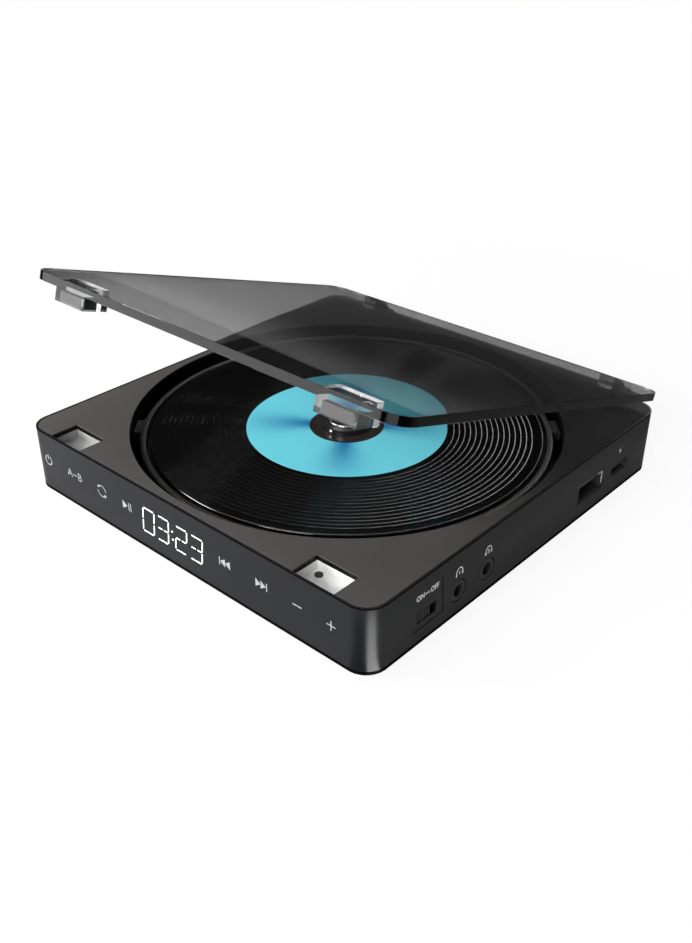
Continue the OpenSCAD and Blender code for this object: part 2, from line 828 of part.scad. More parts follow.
module spindle_motor() {
    color("silver") place() difference() {
        union() {
            translate([0, 0, chassis_top])
                cylinder(r = motor_r, h = 1);
            translate([0, 0, chassis_top])
                cylinder(r = motor_r - 1, h = motor_top - chassis_top);
        }
        translate([0, 0, chassis_top - over])
            cylinder(r = shaft_r + running_gap, h = mech_space + over);
    }
}

module spindle_shaft() {
    color("silver") place() translate([0, 0, chassis_under])
        cylinder(r = shaft_r, h = hub_top - 1 - chassis_under);
}

module turntable_hub() {
    color([0.1, 0.1, 0.1]) place() difference() {
        union() {
            translate([0, 0, motor_top + 0.3])
                cylinder(r = 3.2, h = disc_under - motor_top - 0.3);
            translate([0, 0, disc_under - turntable_t])
                cylinder(r = turntable_r, h = turntable_t);
            translate([0, 0, disc_under])
                cylinder(r = hub_r, h = hub_top - hub_chamfer - disc_under);
            translate([0, 0, hub_top - hub_chamfer])
                cylinder(r1 = hub_r, r2 = hub_r - 1.1, h = hub_chamfer);
        }
        translate([0, 0, motor_top])
            cylinder(r = shaft_r + 0.02, h = hub_top - 0.9 - motor_top);
        for (a = ball_angles) rotate(a)
            bar_x(ball_at - ball_r - ball_travel - 0.3, hub_r + over, 0, ball_z,
                  ball_r + running_gap);
    }
}

module catch_ball(i) {
    color("white") place() rotate(ball_angles[i - 1])
        translate([ball_at, 0, ball_z]) sphere(r = ball_r);
}

module catch_ball_1() {
    catch_ball(1);
}

module catch_ball_2() {
    catch_ball(2);
}

module catch_ball_3() {
    catch_ball(3);
}

module disc() {
    color([0.2, 0.2, 0.2]) place()
        disc_ring(disc_r, disc_hole_d / 2, disc_under, disc_top);
}

module disc_label() {
    color([0.45, 0.85, 0.92]) place()
        disc_ring(label_d / 2, label_hole_d / 2, disc_top, disc_top + 0.05);
}

// ---------- Laser sled ----------

module guide_rods() {
    color("silver") place() for (s = [-1, 1])
        bar_x(stop_in - stop_t, stop_out + stop_t, s * rod_y, rod_z, rod_r);
}

module laser_sled() {
    color([0.2, 0.2, 0.25]) place() difference() {
        union() {
            box([lens_rest - sled_in, -sled_half, sled_z0],
                [lens_rest + sled_out, sled_half, sled_z1]);
            box([lens_rest - nut_half, sled_half - 1, sled_z0 - 0.3],
                [lens_rest + nut_half, screw_y + 2.4, screw_z + 2.1]);
        }
        for (s = [-1, 1])
            bar_x(lens_rest - sled_in - over, lens_rest + sled_out + over,
                  s * rod_y, rod_z, rod_r + running_gap);
        bar_x(lens_rest - nut_half - over, lens_rest + nut_half + over,
              screw_y, screw_z, screw_r + running_gap);
    }
}

module lens_holder() {
    base_z = sled_z1 + focus_down + 0.05;
    top_z = disc_under - focus_up - 0.35;
    color([0.25, 0.25, 0.4]) place() {
        box([lens_rest - lens_w / 2, -lens_w / 2, base_z],
            [lens_rest + lens_w / 2, lens_w / 2, top_z - 0.3]);
        translate([lens_rest, 0, base_z]) cylinder(r = 2.2, h = top_z - base_z);
    }
}

module lead_screw() {
    color("silver") place() {
        bar_x(bracket_x - sled_motor_l / 2, stop_out - 0.3, screw_y, screw_z, screw_r);
        bar_x(stop_out - 0.3, stop_out + stop_t, screw_y, screw_z, screw_r - 0.35);
    }
}

module sled_motor() {
    color("silver") place() difference() {
        bar_x(bracket_x - sled_motor_l, bracket_x, screw_y, screw_z, sled_motor_r);
        bar_x(bracket_x - sled_motor_l / 2 - 0.3, bracket_x + over, screw_y, screw_z,
              screw_r + running_gap);
    }
}

// ---------- Boards, battery and ports ----------

module main_board() {
    color("darkgreen") place() difference() {
        box([board_x0, board_front, board_under], [board_x1, board_back, board_top]);
        for (p = damper_spots)
            translate([p[0], p[1], board_under - over])
                cylinder(r = damper_neck_r + 0.8, h = main_board_t + 2 * over);
        for (p = standoff_spots)
            translate([p[0], p[1], board_under - over])
                cylinder(r = screw_thread_r + 0.2, h = main_board_t + 2 * over);
    }
}

module main_board_screws() {
    color("silver") place() for (p = standoff_spots)
        screw_down(p[0], p[1], board_top, main_board_t + standoff_h);
}

// One square chip, from its distance to the board's left edge and its middle in Y
module chip(inset, y, side) {
    chip_t = 0.9;
    box([board_x0 + inset, y - side / 2, board_top],
        [board_x0 + inset + side, y + side / 2, board_top + chip_t]);
}

// Chips on the free stretches of the board, in front of and behind the chassis
module board_chips() {
    color([0.1, 0.1, 0.12]) place() {
        chip(9, board_front + 9.5, 9);
        chip(9, board_front + 21.5, 7);
        chip(12, board_back - 14.5, 10);
        chip(12, board_back - 6.5, 4);
    }
}

module board_capacitors() {
    can_r = 2.5;
    can_h = 5.4;
    can_pitch = 7;
    color([0.75, 0.75, 0.78]) place() for (i = [0:2])
        translate([board_x0 + 24, board_front + can_r + 3 + i * can_pitch, board_top])
            cylinder(r = can_r, h = can_h);
}

module battery() {
    color([0.3, 0.4, 0.6]) place() translate([battery_x, 0, battery_z])
        linear_extrude(battery_t) rounded_rect(battery_w, battery_d, 1.5);
}

module usb_a_shell() {
    y = front_y + usb_a_y;
    color("silver") place() difference() {
        box([half_w - usb_a_l, y - usb_a_w / 2, usb_a_z - usb_a_h / 2],
            [half_w - 0.2, y + usb_a_w / 2, usb_a_z + usb_a_h / 2]);
        box([half_w - usb_a_l + shell_t, y - usb_a_w / 2 + shell_t,
             usb_a_z - usb_a_h / 2 + shell_t],
            [half_w + over, y + usb_a_w / 2 - shell_t, usb_a_z + usb_a_h / 2 - shell_t]);
    }
}

// The insulator that fills the shell's back, carries the contacts on its tongue,
// and stands on the board as a raised base
module usb_a_tongue() {
    y = front_y + usb_a_y;
    inside = usb_a_w / 2 - shell_t - 0.05;
    low = usb_a_z - usb_a_h / 2 + shell_t + 0.05;
    high = usb_a_z + usb_a_h / 2 - shell_t - 0.05;
    back = half_w - usb_a_l + shell_t + 0.05;
    color("white") place() {
        box([back, y - inside, low], [back + 2, y + inside, high]);
        box([back + 1, y - inside + 0.7, high - 2.1],
            [half_w - 1.6, y + inside - 0.7, high - 0.3]);
        box([half_w - usb_a_l + 1, y - usb_a_w / 2 + 1, board_top],
            [half_w - 4, y + usb_a_w / 2 - 1, usb_a_z - usb_a_h / 2]);
    }
}

module usb_c_profile(w, h, x0, x1) {
    y = front_y + usb_c_y;
    box([x0, y - w / 2 + h / 2, usb_c_z - h / 2], [x1, y + w / 2 - h / 2, usb_c_z + h / 2]);
    for (s = [-1, 1]) bar_x(x0, x1, y + s * (w / 2 - h / 2), usb_c_z, h / 2);
}

module usb_c_shell() {
    color("silver") place() difference() {
        usb_c_profile(usb_c_w, usb_c_h, half_w - usb_c_l, half_w - 0.2);
        usb_c_profile(usb_c_w - 2 * shell_t, usb_c_h - 2 * shell_t,
                      half_w - usb_c_l + shell_t, half_w + over);
    }
}

module usb_c_tongue() {
    y = front_y + usb_c_y;
    back = half_w - usb_c_l + shell_t + 0.05;
    color([0.15, 0.15, 0.15]) place() {
        usb_c_profile(usb_c_w - 2 * shell_t - 0.1, usb_c_h - 2 * shell_t - 0.1,
                      back, back + 1.6);
        box([back + 1, y - usb_c_w / 2 + 1.1, usb_c_z - 0.35],
            [half_w - 0.9, y + usb_c_w / 2 - 1.1, usb_c_z + 0.35]);
        box([half_w - usb_c_l + 0.5, y - usb_c_w / 2 + 1.6, board_top],
            [half_w - 4, y + usb_c_w / 2 - 1.6, usb_c_z - usb_c_h / 2]);
    }
}

// A headphone jack: a body on the board and a nose that fills the wall's hole
module headphone_jack(y) {
    half = 3.2;
    color([0.1, 0.1, 0.1]) place() difference() {
        union() {
            box([in_x - 0.1 - jack_body_l, y - half, board_top],
                [in_x - 0.1, y + half, 2 * jack_z - board_top]);
            bar_x(in_x - 1, half_w, y, jack_z, jack_nose_r);
        }
        bar_x(half_w - jack_bore_l, half_w + over, y, jack_z, jack_bore_r);
    }
}

module headphone_jack_1() {
    headphone_jack(front_y + jack_1_y);
}

module headphone_jack_2() {
    headphone_jack(front_y + jack_2_y);
}

// The sliding switch's fixed half, with a shelf under it that stands on the board
module hold_switch_body() {
    y = front_y + switch_y;
    reach = switch_slot_l / 2 + 2;
    color([0.2, 0.2, 0.2]) place() difference() {
        box([switch_x0 - 3.4, y - reach, board_top],
            [switch_x0 + 1.6, y + reach, switch_z + 2.6]);
        box([switch_x0 - 1.4, y - reach + 1, switch_z - 0.9],
            [switch_x0 + 1.6 + over, y + reach - 1, switch_z + 0.9]);
    }
}

module hold_switch_knob() {
    face = half_w - 0.4;
    rib_pitch = knob_l / (knob_ribs + 0.5);
    color([0.25, 0.25, 0.25]) place() {
        box([in_x - 0.3, knob_y - knob_l / 2, switch_z - knob_h / 2],
            [face, knob_y + knob_l / 2, switch_z + knob_h / 2]);
        for (i = [0:knob_ribs - 1])
            box([face - 0.2, knob_y - knob_l / 2 + (i + 0.5) * rib_pitch,
                 switch_z - knob_h / 2 + 0.3],
                [face + 0.3, knob_y - knob_l / 2 + (i + 1) * rib_pitch,
                 switch_z + knob_h / 2 - 0.3]);
        box([in_x - 0.2 - knob_flange_t, knob_y - knob_l / 2 - 1,
             switch_z - knob_h / 2 - 0.6],
            [in_x - 0.2, knob_y + knob_l / 2 + 1, switch_z + knob_h / 2 + 0.6]);
        box([switch_x0 - 1, knob_y - 1, switch_z - 0.7],
            [in_x - 0.3, knob_y + 1, switch_z + 0.7]);
    }
}

// ---------- Front panel electronics ----------

module display_board() {
    color("darkgreen") place() difference() {
        box([-board_half, board_y, window_z0 + 0.2],
            [board_half, board_y + display_board_t, window_z1]);
        for (x = board_boss_x)
            bar_y(x, board_y - over, board_y + display_board_t + over, board_boss_z, 0.7);
    }
}

module display_board_screws() {
    color("silver") place() for (x = board_boss_x) {
        bar_y(x, board_y + display_board_t, board_y + display_board_t + 0.5,
              board_boss_z, 1.1);
        bar_y(x, window_y + 0.5, board_y + display_board_t, board_boss_z, 0.55);
    }
}

module display_module() {
    color("black") place()
        box([display_x - display_w / 2, film_y, display_z1 - display_h],
            [display_x + display_w / 2, board_y, display_z1]);
}

module icon_lamps() {
    color("white") place() for (x = icon_x)
        box([max(x - 1, 0.5 - board_half), board_y - lamp_t, icon_z - 0.6],
            [min(x + 1, board_half - 0.5), board_y, icon_z + 0.6]);
}

// The opening in the guide and the film that the display looks through. The strip left
// over it joins their two halves.
module display_gap(y0, y1) {
    box([display_x - display_w / 2 - 0.3, y0, window_z0 - over],
        [display_x + display_w / 2 + 0.3, y1, display_z1 + 0.2]);
}

module light_guide() {
    color([0.9, 0.9, 0.9]) place() difference() {
        box([-guide_half, guide_y, icon_z - guide_h / 2],
            [guide_half, guide_y + guide_t, window_z1 - 0.15]);
        display_gap(guide_y - over, guide_y + guide_t + over);
    }
}

module touch_film() {
    color("orange") place() difference() {
        box([-guide_half, film_y, icon_z - guide_h / 2 - 0.4],
            [guide_half, film_y + film_t, window_z1 - 0.15]);
        display_gap(film_y - over, film_y + film_t + over);
    }
}

// The flat cable from the display board down to the main board
module display_ribbon() {
    ribbon_t = 0.3;
    ribbon_w = 8;
    x0 = board_x0 + 8;
    y0 = board_y + display_board_t;
    color("orange") place() {
        box([x0, y0, board_top], [x0 + ribbon_w, y0 + ribbon_t, window_z1 - 5]);
        box([x0, y0, board_top],
            [x0 + ribbon_w, board_front + standoff_inset, board_top + ribbon_t]);
    }
}

case_shell();
bottom_cover();
cover_screws();
feet();
deck_plate();
strike_cup_left();
strike_cup_right();
lid_sensor();
hinge_pins();
lid_panel();
lid_magnets();
disc_tray();
tray_screws();
mech_chassis();
dampers();
damper_screws();
spindle_motor();
spindle_shaft();
turntable_hub();
catch_ball_1();
catch_ball_2();
catch_ball_3();
disc();
disc_label();
guide_rods();
laser_sled();
lens_holder();
lead_screw();
sled_motor();
main_board();
main_board_screws();
board_chips();
board_capacitors();
battery();
usb_a_shell();
usb_a_tongue();
usb_c_shell();
usb_c_tongue();
headphone_jack_1();
headphone_jack_2();
hold_switch_body();
hold_switch_knob();
display_board();
display_board_screws();
display_module();
icon_lamps();
light_guide();
touch_film();
display_ribbon();
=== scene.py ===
"""Portable disc player with a clear flip-up lid: surfaces, finishes, light and camera."""
import json
import logging
import math
from dataclasses import dataclass, field
from enum import Enum
from typing import Callable, Sequence

import bmesh
import bpy
import numpy as np
from mathutils import Matrix, Vector


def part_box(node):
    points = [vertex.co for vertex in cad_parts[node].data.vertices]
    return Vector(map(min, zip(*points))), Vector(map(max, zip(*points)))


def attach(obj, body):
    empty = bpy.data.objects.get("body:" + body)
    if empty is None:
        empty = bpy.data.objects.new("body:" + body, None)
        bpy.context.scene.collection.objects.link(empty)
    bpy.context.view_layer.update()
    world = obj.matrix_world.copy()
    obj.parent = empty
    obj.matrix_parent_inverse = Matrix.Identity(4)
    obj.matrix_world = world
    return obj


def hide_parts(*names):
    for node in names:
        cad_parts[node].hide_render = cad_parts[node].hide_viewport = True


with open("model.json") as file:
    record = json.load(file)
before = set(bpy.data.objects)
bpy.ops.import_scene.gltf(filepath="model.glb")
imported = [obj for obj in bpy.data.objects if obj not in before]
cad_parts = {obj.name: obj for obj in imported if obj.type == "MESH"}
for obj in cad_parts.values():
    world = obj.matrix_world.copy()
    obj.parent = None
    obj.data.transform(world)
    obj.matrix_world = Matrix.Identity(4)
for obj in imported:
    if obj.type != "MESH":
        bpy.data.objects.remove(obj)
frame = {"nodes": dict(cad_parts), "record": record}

LOG = logging.getLogger("disc_player")
MM = 0.001
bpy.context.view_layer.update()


class Face(Enum):
    """The outer face of the case that a mark lies on."""

    FRONT = "front"
    RIGHT = "right"


class Mark(Enum):
    """A touch icon on the front face."""

    POWER = "power"
    REPEAT_PART = "repeat_part"
    REPEAT = "repeat"
    PLAY = "play"
    BACK = "back"
    NEXT = "next"
    MINUS = "minus"
    PLUS = "plus"


# ---------------------------------------------------------------- shader helpers


class NodeGraph:
    """A short hand for building one material's or world's nodes."""

    def __init__(self, tree: bpy.types.NodeTree) -> None:
        """Empties the tree.

        Args:
            tree: The node tree to fill.
        """
        self.tree = tree
        tree.nodes.clear()

    def add(self, kind: str, feeds: dict | None = None, **props: object
            ) -> bpy.types.Node:
        """Adds a node, sets its properties and feeds its inputs.

        Args:
            kind: The node's type name.
            feeds: A value or a socket for each input's name or number.
            props: Properties to set on it.

        Returns:
            The new node.
        """
        made = self.tree.nodes.new(kind)
        for key, value in props.items():
            setattr(made, key, value)
        self.feed(made, feeds or {})
        return made

    def feed(self, node: bpy.types.Node, feeds: dict) -> None:
        """Sets or links a node's inputs.

        Args:
            node: The node.
            feeds: A value or a socket for each input's name or number.
        """
        for key, value in feeds.items():
            if isinstance(value, bpy.types.NodeSocket):
                self.tree.links.new(value, node.inputs[key])
            else:
                node.inputs[key].default_value = value

    def math(self, operation: str, *values: object) -> bpy.types.NodeSocket:
        """A Math node's result, with a number or a socket for each input in turn."""
        return self.add("ShaderNodeMath", dict(enumerate(values)),
                        operation=operation).outputs[0]

    def product(self, first: object, *others: object) -> bpy.types.NodeSocket:
        """The product of numbers or sockets."""
        for other in others:
            first = self.math("MULTIPLY", first, other)
        return first

    def rest(self, share: bpy.types.NodeSocket) -> bpy.types.NodeSocket:
        """What a share leaves of 1."""
        return self.math("SUBTRACT", 1.0, share)

    def ramp(self, fac: bpy.types.NodeSocket,
             stops: Sequence[tuple[float, Sequence[float]]]) -> bpy.types.NodeSocket:
        """Adds a colour ramp.

        Args:
            fac: What runs it.
            stops: Pairs of a place from 0 to 1 and a colour.

        Returns:
            The colour's socket.
        """
        made = self.add("ShaderNodeValToRGB", {"Fac": fac})
        points = made.color_ramp.elements
        while len(points) < len(stops):
            points.new(0.5)
        for point, (place, colour) in zip(points, stops):
            point.position = place
            point.color = (*colour[:3], 1.0)
        return made.outputs["Color"]

    def place(self, centre: Sequence[float] = (0, 0, 0),
              stretch: Sequence[float] = (1, 1, 1)) -> bpy.types.NodeSocket:
        """Object coordinates times stretch, less a centre, in metres."""
        feeds = {"Vector": self.add("ShaderNodeTexCoord").outputs["Object"],
                 "Location": [-c for c in centre], "Scale": stretch}
        return self.add("ShaderNodeMapping", feeds).outputs["Vector"]

    def dot(self, coords: bpy.types.NodeSocket, way: Sequence[float]
            ) -> bpy.types.NodeSocket:
        """How far some coordinates reach along a direction of any length."""
        feeds = {0: coords, 1: Vector(way).normalized()}
        return self.add("ShaderNodeVectorMath", feeds,
                        operation="DOT_PRODUCT").outputs["Value"]

    def along(self, *way: float) -> bpy.types.NodeSocket:
        """How far the object coordinates reach along a direction."""
        return self.dot(self.place(), way)

    def length(self, coords: bpy.types.NodeSocket) -> bpy.types.NodeSocket:
        """How far some coordinates are from their centre."""
        return self.add("ShaderNodeVectorMath", {0: coords},
                        operation="LENGTH").outputs["Value"]

    def angle(self, coords: bpy.types.NodeSocket) -> bpy.types.NodeSocket:
        """The angle of some coordinates about the vertical, in radians."""
        parts = self.add("ShaderNodeSeparateXYZ", {0: coords}).outputs
        return self.math("ARCTAN2", parts["Y"], parts["X"])

    def noise(self, coords: bpy.types.NodeSocket, scale: float, detail: float
              ) -> bpy.types.NodeSocket:
        """A noise over some coordinates, in waves per metre and octaves."""
        feeds = {"Vector": coords, "Scale": scale, "Detail": detail}
        return self.add("ShaderNodeTexNoise", feeds).outputs["Fac"]

    def rise(self, value: bpy.types.NodeSocket, start: float, full: float,
             level: float = 1.0) -> bpy.types.NodeSocket:
        """A soft step from 0 up to a level.

        Args:
            value: What runs it.
            start: Where it leaves 0.
            full: Where it reaches the level.
            level: Its top value.

        Returns:
            The step's socket.
        """
        feeds = {"Value": value, "From Min": start, "From Max": full, "To Max": level}
        return self.add("ShaderNodeMapRange", feeds, clamp=True,
                        interpolation_type="SMOOTHSTEP").outputs[0]

    def window(self, value: bpy.types.NodeSocket, start: float, full: float,
               fall: float, end: float) -> bpy.types.NodeSocket:
        """A soft step up to 1 from start to full, and down again from fall to end."""
        return self.product(self.rise(value, start, full),
                            self.rest(self.rise(value, fall, end)))

    def bump(self, height: bpy.types.NodeSocket, strength: float,
             distance: float) -> bpy.types.NodeSocket:
        """A bumped normal, from a strength of 0 to 1 and a distance in metres."""
        feeds = {"Strength": strength, "Distance": distance, "Height": height}
        return self.add("ShaderNodeBump", feeds).outputs["Normal"]

    def scaled(self, colour: bpy.types.NodeSocket, factor: bpy.types.NodeSocket
               ) -> bpy.types.NodeSocket:
        """A colour times a factor."""
        return self.add("ShaderNodeVectorMath", {0: colour, "Scale": factor},
                        operation="SCALE").outputs[0]

    def mix(self, share: bpy.types.NodeSocket, low: object, high: object
            ) -> bpy.types.NodeSocket:
        """Mixes two colours.

        Args:
            share: The second colour's share.
            low: The first colour or its socket.
            high: The second colour or its socket.

        Returns:
            The mixed colour's socket.
        """
        low, high = ((*end, 1.0) if isinstance(end, tuple) else end
                     for end in (low, high))
        return self.add("ShaderNodeMix", {"Factor": share, 6: low, 7: high},
                        data_type="RGBA").outputs[2]

    def blend(self, share: bpy.types.NodeSocket, first: bpy.types.Node,
              second: bpy.types.Node) -> bpy.types.NodeSocket:
        """Mixes two shaders, the second by a share."""
        feeds = {"Fac": share, 1: first.outputs[0], 2: second.outputs[0]}
        return self.add("ShaderNodeMixShader", feeds).outputs[0]


def tint(colour: Sequence[float], factor: float) -> tuple[float, float, float]:
    """A colour made lighter or darker by a factor."""
    return tuple(min(1.0, c * factor) for c in colour[:3])


@dataclass(frozen=True)
class Finish:
    """A moulded or coated surface: a colour with fine mottling and a slight texture.

    Attributes:
        colour: The base colour.
        rough: The roughness.
        metal: 1 for bare metal, else 0.
        grain: Texture waves per metre.
        mottle: How far the colour varies, as a share.
        relief: The texture's bump strength.
        depth: The texture's height in metres.
        ior: The index of refraction.
    """

    colour: tuple[float, float, float]
    rough: float = 0.4
    metal: float = 0.0
    grain: float = 2500.0
    mottle: float = 0.08
    relief: float = 0.12
    depth: float = 0.00003
    ior: float = 1.5

    def surface(self, graph: NodeGraph) -> bpy.types.Node:
        """Adds the shader with its constant values set on its own sockets."""
        shader = graph.add("ShaderNodeBsdfPrincipled", {
            "Metallic": self.metal, "IOR": self.ior, "Roughness": self.rough})
        graph.add("ShaderNodeOutputMaterial", {"Surface": shader.outputs["BSDF"]})
        return shader

    def mottled(self, graph: NodeGraph, noise: bpy.types.NodeSocket,
                start: float = 0.3) -> bpy.types.NodeSocket:
        """The colour, varied by a noise between start and 1 - start."""
        return graph.ramp(noise, [(start, tint(self.colour, 1 - self.mottle)),
                                  (1 - start, tint(self.colour, 1 + self.mottle))])

    def texture(self, graph: NodeGraph, noise: bpy.types.NodeSocket, spread: float
                ) -> dict[str, bpy.types.NodeSocket]:
        """Feeds the roughness and the bump from a fine noise.

        Args:
            graph: The material's nodes.
            noise: The fine noise.
            spread: How far the roughness varies, as a share.

        Returns:
            The shader's feeds.
        """
        rough = graph.ramp(noise, [(0.2, (self.rough * (1 - spread),) * 3),
                                   (0.8, (self.rough * (1 + spread),) * 3)])
        return {"Roughness": rough, "Normal": graph.bump(noise, self.relief, self.depth)}

    def dress(self, graph: NodeGraph, shader: bpy.types.Node) -> None:
        """Gives the shader its colour, roughness and bump patterns."""
        coords = graph.place()
        broad = graph.noise(coords, self.grain * 0.02, 4.0)
        fine = graph.noise(coords, self.grain, 2.0)
        graph.feed(shader, {"Base Color": self.mottled(graph, broad),
                            **self.texture(graph, fine, 0.08)})

    def build(self, name: str) -> bpy.types.Material:
        """Makes the material.

        Args:
            name: The material's name.

        Returns:
            The new material.
        """
        material = bpy.data.materials.new(name)
        material.use_nodes = True
        graph = NodeGraph(material.node_tree)
        self.dress(graph, self.surface(graph))
        return material


@dataclass(frozen=True)
class BrushedMetal(Finish):
    """Bare metal with fine lines along one axis.

    Attributes:
        stretch: How much the grain is drawn out along X, Y and Z.
    """

    stretch: tuple[float, float, float] = (0.04, 1.0, 1.0)

    def dress(self, graph: NodeGraph, shader: bpy.types.Node) -> None:
        """Noise squeezed across the brushing gives the lines."""
        lines = graph.noise(graph.place(stretch=self.stretch), self.grain, 3.0)
        graph.feed(shader, {"Base Color": self.mottled(graph, lines, 0.25),
                            **self.texture(graph, lines, 0.2)})


@dataclass(frozen=True)
class CupSteel(BrushedMetal):
    """Brushed strike steel, with painted shade that darkens the cup nearer the left lamp.

    Attributes:
        dull: The left cup's share of the brightness under its painted shade.
        reach: How far from the middle the change is complete, in metres.
    """

    dull: float = 0.45
    reach: float = 45 * MM

    def dress(self, graph: NodeGraph, shader: bpy.types.Node) -> None:
        """The brushed colour is scaled along X, as painted shade on the left cup."""
        super().dress(graph, shader)
        steel = shader.inputs["Base Color"].links[0].from_socket
        more = graph.rise(graph.along(1, 0, 0), -self.reach, self.reach, 1 - self.dull)
        share = graph.math("ADD", more, self.dull)
        graph.feed(shader, {"Base Color": graph.scaled(steel, share)})


@dataclass(frozen=True)
class DeckPaint(Finish):
    """The deck's colour: black on the walls of the cut-outs, with painted shade that
    darkens it towards the back right.

    Attributes:
        depth: The texture's height in metres, so tall that the relief alone sets
            how far it scatters the deck's sheen.
        top: The height of the deck's top in metres.
        wall: The walls' grey.
        deepen: How much darker the far corner is, as painted shade.
    """

    depth: float = 0.88
    top: float = 20.2 * MM
    wall: float = 0.003
    deepen: float = 0.88

    def dress(self, graph: NodeGraph, shader: bpy.types.Node) -> None:
        """The height mixes the colour with black on the walls, and the place in plan
        darkens it towards the back right as painted shade.
        """
        super().dress(graph, shader)
        paint = shader.inputs["Base Color"].links[0].from_socket
        flat = graph.rise(graph.along(0, 0, 1), self.top - 0.4 * MM,
                          self.top - 0.15 * MM)
        # Painted shade: darker towards the back right corner.
        far = graph.rise(graph.along(0.8, 0.6, 0), 20 * MM, 70 * MM, self.deepen)
        share = graph.product(flat, graph.rest(far))
        graph.feed(shader, {"Base Color": graph.mix(share, (self.wall,) * 3, paint)})


@dataclass(frozen=True)
class SmokyClear(Finish):
    """Clear plastic with a grey tint, polished, with a faint moulding haze."""

    def surface(self, graph: NodeGraph) -> bpy.types.Node:
        """A transmitting shader whose tint is set in dress."""
        shader = super().surface(graph)
        graph.feed(shader, {"Transmission Weight": 1.0})
        return shader

    def dress(self, graph: NodeGraph, shader: bpy.types.Node) -> None:
        """The tint varies a little over the moulding, and the surface stays smooth."""
        broad = graph.noise(graph.place(), self.grain, 2.0)
        graph.feed(shader, {"Base Color": self.mottled(graph, broad)})


@dataclass(frozen=True)
class PrintedLabel(Finish):
    """A printed label with a painted reflection: darker rays that run out from the hub.

    Attributes:
        shade: The colour in the rays of painted reflection.
        centre: The disc's centre in metres.
        inner: The radius where the rays are darkest.
        outer: The radius where they have faded.
        rays: How many rays there are.
        sharp: The power that narrows the rays.
        dark: How strong the rays are at the inner radius.
        faint: How strong they are at the outer radius.
        turn: The first ray's angle in degrees.
    """

    shade: tuple[float, float, float] = (0.02, 0.2, 0.4)
    centre: tuple[float, float, float] = (0.0, 0.0, 0.0)
    inner: float = 0.011
    outer: float = 0.031
    rays: int = 4
    sharp: float = 3.5
    dark: float = 0.95
    faint: float = 0.16
    turn: float = 0.0

    def dress(self, graph: NodeGraph, shader: bpy.types.Node) -> None:
        """The angle from the hub gives narrow waves of painted reflection, and the radius
        fades them out.
        """
        coords = graph.place(self.centre)
        turned = graph.math("SUBTRACT", graph.angle(coords), math.radians(self.turn))
        wave = graph.math("COSINE", graph.product(turned, float(self.rays)))
        peak = graph.math("POWER", graph.math("MULTIPLY_ADD", wave, 0.5, 0.5),
                          self.sharp)
        radius = graph.length(graph.place((*self.centre[:2], 0.0), (1, 1, 0)))
        fade = graph.add("ShaderNodeMapRange", {
            "Value": radius, "From Min": self.inner, "From Max": self.outer,
            "To Min": self.dark, "To Max": self.faint}, clamp=True)
        grain = graph.noise(coords, 900.0, 2.0)
        depth = graph.product(peak, fade.outputs[0],
                              graph.math("MULTIPLY_ADD", grain, 0.2, 0.9))
        # The print's colour, darkened along the rays as a painted reflection.
        colour = graph.ramp(depth, [(0.0, self.colour), (0.9, self.shade)])
        graph.feed(shader, {"Base Color": colour,
                            "Normal": graph.bump(grain, self.relief, self.depth)})


@dataclass(frozen=True)
class Glow(Finish):
    """A lit sign: light that comes through the case's face, a little uneven.

    Attributes:
        power: The light's strength.
    """

    power: float = 1.0

    def dress(self, graph: NodeGraph, shader: bpy.types.Node) -> None:
        """Noise makes the light slightly uneven along each line."""
        uneven = graph.noise(graph.place(), 900.0, 1.0)
        light = graph.ramp(uneven, [(0.3, tint(self.colour, 0.86)), (0.7, self.colour)])
        graph.feed(shader, {"Base Color": light, "Emission Color": light,
                            "Emission Strength": self.power})


# ---------------------------------------------------------------- mesh helpers


def new_object(name: str, mesh: bpy.types.Mesh, body: str,
               material: bpy.types.Material) -> bpy.types.Object:
    """Links a finished mesh as a piece that rides on a body.

    Args:
        name: The piece's name.
        mesh: Its mesh, in the row frame and in metres.
        body: The CAD body that it rides on.
        material: Its material.

    Returns:
        The new object.
    """
    made = bpy.data.objects.new(name, mesh)
    bpy.context.scene.collection.objects.link(made)
    mesh.materials.clear()
    mesh.materials.append(material)
    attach(made, body)
    LOG.info("%s: %d faces on %s", name, len(mesh.polygons), body)
    return made


def new_piece(name: str, shape: tuple, body: str,
              material: bpy.types.Material, smooth: bool = True) -> bpy.types.Object:
    """Makes a piece from whole arrays, with its faces turned outwards.

    Args:
        name: The piece's name.
        shape: Points, one row each, in metres, and rows of point numbers as faces.
        body: The CAD body that it rides on.
        material: Its material.
        smooth: Whether the faces are shaded smooth.

    Returns:
        The new object.
    """
    verts, faces = shape
    mesh = bpy.data.meshes.new(name)
    mesh.from_pydata(np.asarray(verts, float).tolist(), [], [list(f) for f in faces])
    work = bmesh.new()
    work.from_mesh(mesh)
    bmesh.ops.remove_doubles(work, verts=work.verts, dist=1e-7)
    bmesh.ops.recalc_face_normals(work, faces=work.faces)
    mark_edges(work, 35.0, smooth)
    work.to_mesh(mesh)
    work.free()
    mesh.update()
    return new_object(name, mesh, body, material)


def joined(shapes: Sequence[tuple]) -> tuple:
    """Stacks several shapes' points and renumbers their faces.

    Args:
        shapes: Pairs of points and faces.

    Returns:
        Points and faces.
    """
    starts = np.cumsum([0] + [len(verts) for verts, _ in shapes]).tolist()
    faces = [[k + start for k in face]
             for start, (_, own) in zip(starts, shapes) for face in own]
    return np.concatenate([verts for verts, _ in shapes]), faces


def middle(node: str) -> np.ndarray:
    """The middle of a CAD node's box, in metres."""
    low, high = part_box(node)
    return (np.array(low) + np.array(high)) / 2


def mark_edges(work: bmesh.types.BMesh, angle: float, smooth: bool = True) -> None:
    """Shades faces smooth and keeps edges sharper than an angle crisp.

    Args:
        work: The mesh being edited.
        angle: The angle in degrees.
        smooth: False leaves all faces flat.
    """
    limit = math.radians(angle)
    for shape in work.faces:
        shape.smooth = smooth
    for edge in work.edges:
        edge.smooth = len(edge.link_faces) == 2 and edge.calc_face_angle(0.0) < limit


